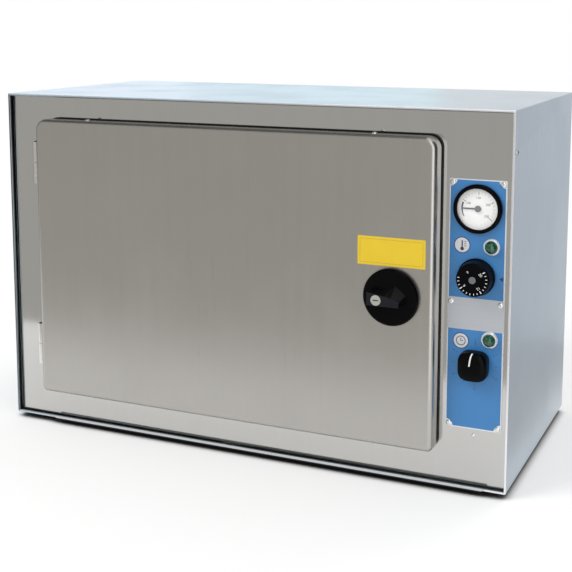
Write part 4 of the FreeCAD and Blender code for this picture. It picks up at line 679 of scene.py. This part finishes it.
def turned(name, profile, centre, finish, body, slot, turns=96, smooth=35.0):
    """A profile of radius and height carried round an axis: c + r cos(a) e + r sin(a) u + h o."""
    out, right, up = FRONTWARDS
    angle = np.linspace(0, 2 * pi, turns, endpoint=False)
    around = np.cos(angle)[:, None] * right + np.sin(angle)[:, None] * up
    radius, height = (np.array(profile) * MM).T
    points = centre + radius[:, None, None] * around + height[:, None, None] * out
    return new_piece(name, points, skin(len(profile), turns), finish, body, slot, smooth)


gloss_black = grained("gloss_black", (0.0015, 0.0015, 0.002), 0.25, 1.2, 0.005,
                      specular_ior_level=0.07)
gauge = middle("thermometer_dial")
gauge_centre = np.array([gauge[0], PLATE_FRONT, gauge[2]])
BEZEL_HEIGHT = (PLATE_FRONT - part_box("thermometer_case")[0][1]) / MM
CAN_DEPTH = (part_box("thermometer_case")[1][1] - PLATE_FRONT) / MM
can = soften([(1.6, -CAN_DEPTH), (23.0, -CAN_DEPTH), (23.0, 0.0), (25.4, 0.0),
              (25.4, BEZEL_HEIGHT - 2.0), (23.6, BEZEL_HEIGHT), (21.3, BEZEL_HEIGHT),
              (21.2, BEZEL_HEIGHT - 1.2), (22.0, BEZEL_HEIGHT - 1.2), (22.0, 1.0 - CAN_DEPTH),
              (1.6, 1.0 - CAN_DEPTH), (1.6, -CAN_DEPTH)], 0.5)
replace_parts(turned("thermometer_can", can, gauge_centre, gloss_black, "cabinet", "black_plastic"),
            "thermometer_case")


def enamel_dial():
    dial = Finish("white_enamel", roughness=0.35)
    point = dial.place()[0]
    cloud = dial.noise(point, 0.08, 2.0)
    dial.feed("Base Color", dial.mix(cloud, (0.93, 0.93, 0.92), (0.97, 0.97, 0.96)))
    dial.feed("Normal", dial.bump(dial.noise(point, 1.2, 3.0), 0.004))
    return dial


paint(enamel_dial(), "thermometer_dial")
DIAL_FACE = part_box("thermometer_dial")[0][1]


def ink_finish(name, colour, rough=0.45):
    """Screen printing ink, a little uneven."""
    ink = Finish(name)
    point = ink.place()[0]
    cloud = ink.noise(point, 0.6, 3.0)
    tone = 0.9 + cloud * 0.2
    ink.feed("Base Color", ink.scale(colour, tone))
    ink.feed("Roughness", cloud * 0.15 + rough)
    return ink


black_ink = ink_finish("black_ink", (0.03, 0.03, 0.035))
white_ink = ink_finish("white_ink", (0.80, 0.80, 0.80))
deep_blue_ink = ink_finish("deep_blue_ink", (0.010, 0.045, 0.15))
dark_blue_ink = ink_finish("dark_blue_ink", (0.010, 0.07, 0.22))
pale_ink = ink_finish("pale_ink", (0.30, 0.30, 0.31))

INK_THICK = 0.05


def marks(name, spots, sizes, angles, y, finish, body, slot):
    """Thin bars on a front face: corners at spot + R(angle) (+-length/2, +-width/2)."""
    spots, sizes = np.array(spots, float), np.array(sizes, float)
    angles = np.radians(np.array(angles, float))
    signs = np.array([(-1, -1), (1, -1), (1, 1), (-1, 1)]) / 2
    local = signs[None] * sizes[:, None]
    turn = np.stack([np.stack([np.cos(angles), -np.sin(angles)], -1),
                     np.stack([np.sin(angles), np.cos(angles)], -1)], -2)
    flat = np.einsum("nij,nkj->nki", turn, local) + spots[:, None]
    x, z = flat[..., 0] * MM, flat[..., 1] * MM
    points = np.concatenate([np.stack([x, np.full(x.shape, y - rise * MM), z], axis=-1)
                             for rise in (0.0, INK_THICK)], axis=1)
    block = np.array([(0, 1, 2, 3), (4, 5, 6, 7), (0, 1, 5, 4), (1, 2, 6, 5), (2, 3, 7, 6),
                      (3, 0, 4, 7)])
    faces = block[None] + 8 * np.arange(len(spots))[:, None, None]
    return new_piece(name, points, faces, finish, body, slot, 20.0)


def ring_spots(centre, radius, angles):
    turn = np.radians(np.array(angles, float))
    ring = radius * np.stack([np.cos(turn), np.sin(turn)], -1)
    return np.array([centre[0], centre[2]]) / MM + ring


def numerals(name, words, spots, height, angles, y, finish, body, slot):
    """Plain numbers standing on a front face, each turned about its own middle."""
    points, faces, count = [], [], 0
    for word, spot, angle in zip(words, spots, angles):
        text = bpy.data.curves.new(name, "FONT")
        text.body = word
        text.size = height * MM * 1.4
        text.align_x = "CENTER"
        text.align_y = "CENTER"
        text.extrude = INK_THICK * MM / 2
        text.resolution_u = 4
        holder = bpy.data.objects.new(name, text)
        mesh = bpy.data.meshes.new_from_object(holder)
        flat = np.array([vertex.co for vertex in mesh.vertices])
        flat[:, :2] -= (flat[:, :2].min(axis=0) + flat[:, :2].max(axis=0)) / 2
        turn = radians(angle)
        x = spot[0] * MM + flat[:, 0] * np.cos(turn) - flat[:, 1] * np.sin(turn)
        z = spot[1] * MM + flat[:, 0] * np.sin(turn) + flat[:, 1] * np.cos(turn)
        points.append(np.stack([x, y - INK_THICK * MM / 2 - flat[:, 2], z], axis=-1))
        faces += [[corner + count for corner in face.vertices] for face in mesh.polygons]
        count += len(flat)
        bpy.data.objects.remove(holder)
        bpy.data.curves.remove(text)
        bpy.data.meshes.remove(mesh)
    mesh = bpy.data.meshes.new(name)
    mesh.from_pydata(np.concatenate(points), [], faces)
    return add_piece(name, mesh, finish, body)


SCALE_START, SCALE_STEP = 151.0, 63.0
major = SCALE_START - SCALE_STEP * np.arange(4)
fifths = np.arange(2, -19, -1)
ON_DIAL = "cabinet", "black_plastic"
minor = SCALE_START + SCALE_STEP / 5 * fifths[fifths % 5 != 0]
marks("dial_ticks", ring_spots(gauge, 16.0, major), [(3.6, 0.5)] * 4, major, DIAL_FACE, black_ink,
      *ON_DIAL)
marks("dial_small_ticks", ring_spots(gauge, 16.6, minor), [(1.6, 0.3)] * len(minor), minor,
      DIAL_FACE, pale_ink, *ON_DIAL)
marks("dial_end_mark", ring_spots(gauge, 15.6, major[-1:]), [(6.2, 0.5)], major[-1:], DIAL_FACE,
      black_ink, *ON_DIAL)
numerals("dial_numbers", ["100", "150", "200", "250"], ring_spots(gauge, 11.4, major), 2.4,
         [0] * 4, DIAL_FACE, black_ink, *ON_DIAL)


def arc_band(name, centre, angles, radius, widths, y, finish, body, slot, count=40):
    """A band c + (r +- w/2) (cos a, sin a), whose width w changes evenly from end to end."""
    turn = np.radians(np.linspace(*angles, count))
    width = np.linspace(*widths, count)
    sides = radius + np.array([-1, 1, 1, -1])[:, None] * width / 2
    rise = np.array([0.0, 0.0, INK_THICK, INK_THICK])[:, None] * np.ones_like(turn)
    points = np.stack([centre[0] + sides * np.cos(turn) * MM, y - rise * MM,
                       centre[2] + sides * np.sin(turn) * MM], axis=-1).transpose(1, 0, 2)
    ends = np.arange(4) + np.array([[0], [4 * count - 4]])
    faces = np.concatenate([skin(count, 4).reshape(-1, 4), ends])
    return new_piece(name, points, faces, finish, body, slot, 20.0)


arc_band("dial_band", gauge, (158, 210), 16.7, (1.9, 0.9), DIAL_FACE, black_ink, *ON_DIAL)

pane = Finish("clear_pane", roughness=0.02, ior=1.45)
streak = pane.noise(pane.place()[0], 0.05)
pane.feed("Base Color", pane.mix(streak, (0.95, 0.97, 0.97), (1.0, 1.0, 1.0)))
pane.feed("Alpha", streak * 0.02 + 0.03)
paint(pane, "thermometer_glass")

needle_black = ink_finish("needle_lacquer", (0.05, 0.05, 0.055), 0.3)
paint(needle_black, "thermometer_needle")
needle_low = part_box("thermometer_needle")[0]
hub_centre = np.array([gauge[0], needle_low[1] + 0.4 * MM, gauge[2]])
hub_grey = grained("hub_grey", (0.13, 0.14, 0.15), 0.34, 1.5, 0.005)
turned("needle_hub", soften([(0.0, 0.55), (1.2, 0.55), (3.2, 0.45), (3.2, -0.3), (0.0, -0.3)], 0.3),
       hub_centre, hub_grey, "needle", "grey_plastic", turns=48)

# Round symbol discs.
# Two silver printed discs on the plate with a dark rim: a small thermometer over the heat knob
# and a clock face over the time knob.

silver_ink = ink_finish("silver_ink", (0.62, 0.63, 0.66), 0.35)
plate_corner = corners_of("control_plate")[0, [0, 2]]
HEAT_DISC, TIME_DISC = plate_corner + (14.2, 195.2), plate_corner + (14.9, 93.9)
ON_PLATE = "cabinet", "blue_plate"
for word, (disc_x, disc_z) in (("heat", HEAT_DISC), ("time", TIME_DISC)):
    centre = np.array([disc_x * MM, PLATE_FRONT, disc_z * MM])
    turned(f"{word}_disc_rim", [(0.0, 0.0), (8.6, 0.0), (8.6, 0.06), (0.0, 0.06)], centre,
           deep_blue_ink, *ON_PLATE, smooth=20.0)
    turned(f"{word}_disc", [(0.0, 0.05), (7.7, 0.05), (7.7, 0.1), (0.0, 0.1)], centre,
           silver_ink, *ON_PLATE, smooth=20.0)
SYMBOL_Y = PLATE_FRONT - 0.1 * MM
marks("heat_symbol", HEAT_DISC + [(0.0, 1.4), (3.3, -0.8), (3.3, 1.4), (3.3, 3.6)],
      [(1.3, 7.0), (2.2, 0.6), (2.2, 0.6), (2.2, 0.6)], [0] * 4, SYMBOL_Y, black_ink, *ON_PLATE)
bulb_centre = np.array([HEAT_DISC[0] * MM, SYMBOL_Y, (HEAT_DISC[1] - 3.8) * MM])
turned("heat_symbol_bulb", [(0.0, 0.0), (1.9, 0.0), (1.9, INK_THICK), (0.0, INK_THICK)],
       bulb_centre, black_ink, *ON_PLATE, smooth=20.0, turns=32)
clock = np.array([TIME_DISC[0] * MM, 0.0, TIME_DISC[1] * MM])
arc_band("time_symbol_ring", clock, (0, 360), 4.7, (0.8, 0.8), SYMBOL_Y, black_ink, *ON_PLATE)
marks("time_symbol_hands", TIME_DISC + [(0.0, 1.4), (1.1, 0.0)], [(0.7, 3.4), (2.8, 0.7)], [0, 0],
      SYMBOL_Y, black_ink, *ON_PLATE)

# Pilot lamps.
# A plated bezel screws down over a green lens with fine ribs inside. The lamp's body is
# behind the panel.

ring_plate = plated("ring_plate", (0.95, 0.95, 0.96), 0.18, 0.5)
lens_low, lens_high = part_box("pilot_lamp_lenses")
LENS_RADIUS = (lens_high[0] - lens_low[0]) / 2 / MM
lamp_x = (lens_low[0] + lens_high[0]) / 2
LAMP_Z = (lens_low[2] + LENS_RADIUS * MM, lens_high[2] - LENS_RADIUS * MM)
RING_HEIGHT = (PLATE_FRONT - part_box("pilot_lamp_bezels")[0][1]) / MM
DOME_HEIGHT = (PLATE_FRONT - lens_low[1]) / MM - RING_HEIGHT


def lens_finish():
    lens = Finish("green_lens", roughness=0.12, transmission_weight=0.25, ior=1.49, coat_weight=0.6,
                  coat_roughness=0.03)
    point = lens.place()[0]
    facet = lens.node("TexVoronoi", {"Vector": point, "Scale": 0.55}, feature="F1")
    lens.feed("Base Color", lens.mix(lens.step(facet, 0.1, 0.9), (0.008, 0.14, 0.062),
                                     (0.002, 0.045, 0.022)))
    lens.feed("Normal", lens.bump(facet, 0.12))
    return lens


green_lens = lens_finish()
for word, z in zip(("timer", "heat"), LAMP_Z):
    centre = np.array([lamp_x, PLATE_FRONT, z])
    inner = LENS_RADIUS + 0.2
    ring = soften([(inner, 0.0), (8.75, 0.0), (8.75, 2.4), (7.4, RING_HEIGHT), (inner, RING_HEIGHT),
                   (inner, 0.0)], 0.6)
    turned(f"{word}_lamp_bezel", ring, centre, ring_plate, "cabinet", "steel_plated", turns=72)
    lift = np.linspace(0, pi / 2, 14)
    dome = [(LENS_RADIUS * np.sin(rise), RING_HEIGHT + DOME_HEIGHT * np.cos(rise)) for rise in lift]
    turned(f"{word}_lamp_lens", dome + [(LENS_RADIUS, 0.2), (0.0, 0.2)], centre, green_lens,
           "cabinet", "lamp_green", turns=72)
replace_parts(bpy.data.objects["timer_lamp_bezel"], "pilot_lamp_bezels")
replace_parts(bpy.data.objects["timer_lamp_lens"], "pilot_lamp_lenses")
paint(grained("grey_moulding", (0.20, 0.21, 0.22), 0.5, 1.5, 0.02), "pilot_lamp_bodies",
      "thermostat_body", "timer_body", "safety_cutout", "terminal_block")

# Thermostat knob.
# A black dial knob on the thermostat's shaft, with white marks and numbers round its face and
# a grey cap in its middle. A dark triangle on the plate is its index.

knob = middle("thermostat_knob")
KNOB_FACE, KNOB_BACK = (corner[1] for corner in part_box("thermostat_knob"))
knob_centre = np.array([knob[0], KNOB_BACK, knob[2]])
KNOB_HEIGHT = (KNOB_BACK - KNOB_FACE) / MM
KNOB_SOCKET = 11.0
ON_KNOB = "thermostat_dial", "black_plastic"
knob_profile = soften([(0.0, KNOB_SOCKET), (3.05, KNOB_SOCKET), (3.05, 0.0), (19.7, 0.0),
                       (19.7, 2.4), (19.1, 3.0), (18.5, 3.2), (17.5, KNOB_HEIGHT - 1.2),
                       (16.3, KNOB_HEIGHT), (0.0, KNOB_HEIGHT)], 0.8)
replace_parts(turned("dial_knob", knob_profile, knob_centre, gloss_black, *ON_KNOB),
            "thermostat_knob")
tick_angles = 37.0 - 15.0 * np.arange(16)
major_ticks = np.isin(np.arange(16), (0, 6, 12))
tick_sizes = np.stack([np.where(major_ticks, 3.0, 1.9), np.where(major_ticks, 0.9, 0.6)], -1)
marks("knob_ticks", ring_spots(knob, 14.6, tick_angles), tick_sizes, tick_angles, KNOB_FACE,
      white_ink, *ON_KNOB)
number_angles = [36.0, -53.0, -143.0]
numerals("knob_numbers", ["20", "12", "6"], ring_spots(knob, 10.4, number_angles), 2.9,
         [angle - 90 for angle in number_angles], KNOB_FACE, white_ink, *ON_KNOB)
numerals("knob_zero", ["0"], ring_spots(knob, 9.5, [122.0]), 2.4, [32.0], KNOB_FACE, white_ink,
         *ON_KNOB)
cap_profile = soften([(0.0, -0.4), (3.7, -0.4), (3.7, 0.8), (2.9, 1.15), (0.0, 1.2)], 0.4)
cap = turned("knob_cap", cap_profile, knob_centre + KNOB_HEIGHT * MM * FRONTWARDS[0], hub_grey,
             "thermostat_dial", "grey_plastic", turns=48)
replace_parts(cap, "thermostat_knob_cap")
paint(zinc, "thermostat_shaft", "timer_shaft")
# Three corners on the plate, measured from the knob's middle, and the same a little in front.
index_points = np.array([(knob[0] + x * MM, PLATE_FRONT - rise * MM, knob[2] + z * MM)
                         for rise in (0.0, INK_THICK)
                         for x, z in ((23.2, -0.4), (27.7, -3.2), (27.7, 2.4))])
index_faces = np.array([(0, 1, 2), (3, 5, 4), (0, 4, 1), (0, 3, 4), (1, 5, 2), (1, 4, 5),
                        (2, 3, 0), (2, 5, 3)])
new_piece("heat_index", index_points, index_faces, deep_blue_ink, *ON_PLATE, 20.0)

# Timer knob.
# A squared black knob with broad bevels and a white pointer line, which stands over a printed
# ring of minutes on the plate.

timer = middle("timer_knob")
timer_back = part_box("timer_knob")[1][1]
timer_centre = np.array([timer[0], timer_back, timer[2]])


def squared_knob(name, levels, centre, finish, body, slot):
    """Rounded squares |x|^n + |z|^n = s^n stacked by height; levels give s, n and the height."""
    out, right, up = FRONTWARDS
    angle = np.linspace(0, 2 * pi, 96, endpoint=False)
    side, power, height = np.array(levels, float).T[:, :, None]
    cosine, sine = np.cos(angle), np.sin(angle)
    radius = side * (abs(cosine) ** power + abs(sine) ** power) ** (-1 / power) * MM
    points = (centre + (radius * cosine)[..., None] * right + (radius * sine)[..., None] * up
              + (height * MM)[..., None] * out)
    return new_piece(name, points, skin(len(levels), 96), finish, body, slot)


knob_levels = [(0.01, 2, KNOB_SOCKET), (3.05, 2, KNOB_SOCKET), (3.05, 2, 0.0), (14.9, 3.4, 0.0),
               (15.5, 3.4, 0.4), (15.5, 3.4, 2.0), (15.4, 3.4, 8.0), (15.1, 3.3, 11.0),
               (14.6, 3.2, 12.2), (13.6, 3.1, 13.4), (12.2, 3.0, 14.3), (10.6, 3.0, 14.8),
               (8.6, 3.0, 15.0), (0.01, 3, 15.0)]
time_knob = squared_knob("time_knob", knob_levels, timer_centre, gloss_black, "timer_dial",
                         "black_plastic")
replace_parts(time_knob, "timer_knob")


def pointer_line():
    """A white line on the knob, whose outer end runs down the bevel: a strip along a route."""
    route = np.array([(-1.9, 2.0, 15.05), (-1.5, 6.0, 15.05), (-1.1, 8.6, 15.0), (-0.7, 11.0, 14.7),
                      (-0.2, 12.9, 13.9), (0.3, 14.2, 12.7), (0.6, 14.9, 11.6)])
    side = np.array([0.75, -0.1, 0.0])
    lift = np.gradient(route[:, 1]), np.gradient(route[:, 2])
    normal = np.stack([np.zeros(len(route)), -lift[1], lift[0]], -1)
    normal /= np.linalg.norm(normal, axis=1)[:, None]
    strip = np.stack([route - side - 0.2 * normal, route + side - 0.2 * normal,
                      route + side + 0.12 * normal, route - side + 0.12 * normal], axis=1)
    out, right, up = FRONTWARDS
    points = timer_centre + MM * (strip[..., :1] * right + strip[..., 1:2] * up
                                  + strip[..., 2:] * out)
    ends = np.arange(4) + np.array([[0], [4 * len(route) - 4]])
    faces = np.concatenate([skin(len(route), 4).reshape(-1, 4), ends])
    new_piece("time_pointer", points, faces, white_ink, "timer_dial", "black_plastic", 40.0)


pointer_line()
minute_angles = 90.0 - 30.0 * np.arange(12)
minute_sizes = np.where(np.arange(12)[:, None] == 0, (5.0, 0.6), (2.2, 0.5))
marks("minute_ticks", ring_spots(timer, 22.6, minute_angles), minute_sizes, minute_angles,
      PLATE_FRONT, dark_blue_ink, *ON_PLATE)
numerals("minute_numbers", ["0", "10", "20", "30", "40", "50"],
         ring_spots(timer, 26.2, minute_angles[::2]), 1.9, [0] * 6, PLATE_FRONT, dark_blue_ink,
         *ON_PLATE)

# Door.
# A drawn pan of brushed stainless steel, its liner pressed out towards the chamber, and mineral
# wool between them. Screws in its top and bottom edges hold the two together.

door_low, door_high = corners_of("door_skin")
handle = middle("handle_rosette") / MM


def outline(low, high, corners, inset=0.0, turns=10):
    """A rectangle in x and z with one radius for its upper and one for its lower corners."""
    turn = np.linspace(0, pi / 2, turns)
    path = []
    for side, rise, start in ((1, 1, 0), (-1, 1, 1), (-1, -1, 2), (1, -1, 3)):
        radius = max(corners[0 if rise > 0 else 1] - inset, 0.5)
        centre = [(high[i] if way > 0 else low[i]) - way * (inset + radius)
                  for i, way in ((0, side), (2, rise))]
        angle = start * pi / 2 + turn
        path.append(np.array(centre) + radius * np.stack([np.cos(angle), np.sin(angle)], -1))
    return np.concatenate(path)


def loft(name, levels, finish, body, slot, smooth=35.0):
    """Outlines one behind another, each at its own y, joined into a closed ring."""
    rings = np.stack([np.stack([flat[:, 0], np.full(len(flat), y), flat[:, 1]], -1)
                      for flat, y in levels + levels[:1]]) * MM
    return new_piece(name, rings, skin(len(rings), rings.shape[1]), finish, body, slot, smooth)


def door_pan():
    """The drawn pan: a flat front with the handle's hole, a rounded edge, sides and thin walls."""
    edge, sheet, support, hole = 6.0, 1.2, 0.6, 10.1
    front, back = door_low[1], door_high[1]
    spot = handle[[0, 2]]

    def rim(inset=0.0):
        return outline(door_low, door_high, (13.0, 6.5), inset)

    ray = rim() - spot
    ray /= np.linalg.norm(ray, axis=1)[:, None]
    holes = [spot + hole * ray, spot + (hole + support) * ray]
    bend = np.linspace(0, pi / 2, 9)
    levels = [(holes[0], front), (holes[1], front), (rim(edge + support), front)]
    levels += [(rim(edge * (1 - np.sin(t))), front + edge * (1 - np.cos(t))) for t in bend]
    levels += [(rim(), front + edge + support), (rim(), back - 0.3), (rim(0.3), back),
               (rim(sheet), back), (rim(sheet), front + edge + support)]
    levels += [(rim(sheet + (edge - sheet) * (1 - np.sin(t))),
                front + sheet + (edge - sheet) * (1 - np.cos(t))) for t in bend[::-1]]
    return levels + [(rim(edge + support), front + sheet), (holes[1], front + sheet),
                     (holes[0], front + sheet)]


door_steel = brushed("door_steel", (0.49, 0.475, 0.45), 0.31, "z", band=0.05, waves=0.6)
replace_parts(loft("door_shell", door_pan(), door_steel, "door", "steel_door"), "door_skin")
paint(chamber_steel, "door_liner")

# Seals and hinges.
# A frame of black silicone round the chamber's mouth, and a lip of it that shows as a black line
# behind the door's top and right edges. The two lift-off hinges are plated.

seal_black = grained("silicone", (0.006, 0.006, 0.007), 0.6, 1.8, 0.02, specular_ior_level=0.1)
seal_low, seal_high = corners_of("door_gasket")


def seal_ring(low, high, corners, width, depth):
    """Levels of a frame with eased edges, from its outer side round to its inner side."""
    near, far = depth
    return [(outline(low, high, corners, inset), y) for inset, y in (
        (0.0, far), (0.0, near + 0.5), (0.5, near), (width - 0.5, near), (width, near + 0.5),
        (width, far))]


seal_levels = seal_ring(seal_low, seal_high, (4.0, 4.0), 8.0, (seal_low[1], seal_high[1]))
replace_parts(loft("mouth_seal", seal_levels, seal_black, "cabinet", "silicone"), "door_gasket")
lip_low = np.array([door_low[0] + 6.0, 0.0, door_low[2] + 3.0])
lip_high = np.array([door_high[0] + 0.7, 0.0, door_high[2] + 1.3])
lip_depth = (door_high[1] + 0.2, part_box("front_panel")[0][1] / MM)
loft("seal_lip", seal_ring(lip_low, lip_high, (14.0, 7.0), 7.0, lip_depth),
     seal_black, "cabinet", "silicone")

paint(plated("hinge_plate", (0.74, 0.73, 0.71), 0.16), "hinge_fixed_leaves", "hinge_lifting_leaves")
# The hinge pins are painted nearly black so that the gaps between the knuckles show dark: painted
# shade.
paint(plated("pin_painted_shade", (0.12, 0.12, 0.12), 0.3), "hinge_pins")

# Label on the door.
# A blank yellow self-adhesive label with a thin printed border.

DOOR_FRONT = door_low[1] * MM
LABEL_CENTRE = handle[[0, 2]] + (-1.0, 47.5)
LABEL_SIZE = (74.4, 30.5)
BORDER_OUTER, BORDER_INNER = 2.4, 2.9


def label_finish():
    """Yellow with a thin darker line a little way in from the edge."""
    label = Finish("yellow_label", roughness=0.36, coat_weight=0.15, coat_roughness=0.2)
    point, x, _, z = label.place()
    across, along = abs(x - LABEL_CENTRE[0]), abs(z - LABEL_CENTRE[1])

    def within(inset):
        """1 on all that is further than an inset from the edge."""
        far_x, far_z = (size / 2 - inset for size in LABEL_SIZE)
        return label.step(across, far_x, far_x - 0.1) * label.step(along, far_z, far_z - 0.1)

    cloud = label.noise(point, 0.05, 2.0)
    yellow = label.mix(cloud, (0.745, 0.517, 0.0125), (0.80, 0.568, 0.0185))
    line = within(BORDER_OUTER) - within(BORDER_INNER)
    label.feed("Base Color", label.mix(line, yellow, (0.50, 0.34, 0.02)))
    label.feed("Normal", label.bump(label.noise(point, 0.9, 3.0), 0.003))
    return label


def thin_plate(name, centre, size, corner, y, thick, finish, body, slot):
    """A thin plate with rounded corners, its edge eased by a second, smaller outline."""
    angle = np.linspace(0, 2 * pi, 64, endpoint=False)
    quarter = np.round(angle / (pi / 2) - 0.5) * pi / 2 + pi / 4
    reach = np.array(size) / 2 - corner
    core = np.sign(np.stack([np.cos(quarter), np.sin(quarter)], -1)) * reach
    around = np.stack([np.cos(angle), np.sin(angle)], -1)
    levels = []
    for share, radius, rise in ((0, 0, 0), (1, corner, 0), (1, corner, 0.7 * thick),
                                (1, corner - 0.4 * thick, thick), (0, 0, thick)):
        flat = np.array(centre) + (core + around * radius) * share
        levels.append(np.stack([flat[:, 0] * MM, np.full(64, y - rise * MM), flat[:, 1] * MM], -1))
    points = np.stack(levels)
    return new_piece(name, points, skin(5, 64), finish, body, slot, 30.0)


thin_plate("door_label", LABEL_CENTRE, LABEL_SIZE, 0.8, DOOR_FRONT, 0.15, label_finish(), "door",
           "dial_white")

# Handle, lock and latch.
# A round black escutcheon carries a wedge lever with a key lock in its left end. The spindle
# turns a cam behind the front panel.

paint(gloss_black, "handle_rosette")


def lever_finish():
    """Black moulding whose flat front face is a dark grey."""
    black = grained("lever_black", (0.004, 0.004, 0.005), 0.16, 1.0, 0.006, specular_ior_level=0.12)
    point, _, y, _ = black.place()
    front = float(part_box("handle_lever")[0][1] / MM)
    face = black.step(y, front + 0.3, front + 0.1)
    cloud = black.noise(point, 0.3, 3.0)
    grey = black.mix(cloud, (0.010, 0.010, 0.014), (0.018, 0.018, 0.024))
    black.feed("Base Color", black.mix(face, (0.004, 0.004, 0.005), grey))
    return black


eased("wedge_lever", "handle_lever", 0.35, lever_finish(), "door_handle")
paint(plated("lock_plate", (0.50, 0.50, 0.46), 0.3, 0.5), "lock_cylinder")
paint(zinc, "rosette_nut", "handle_spindle", "latch_cam", "cam_nut")
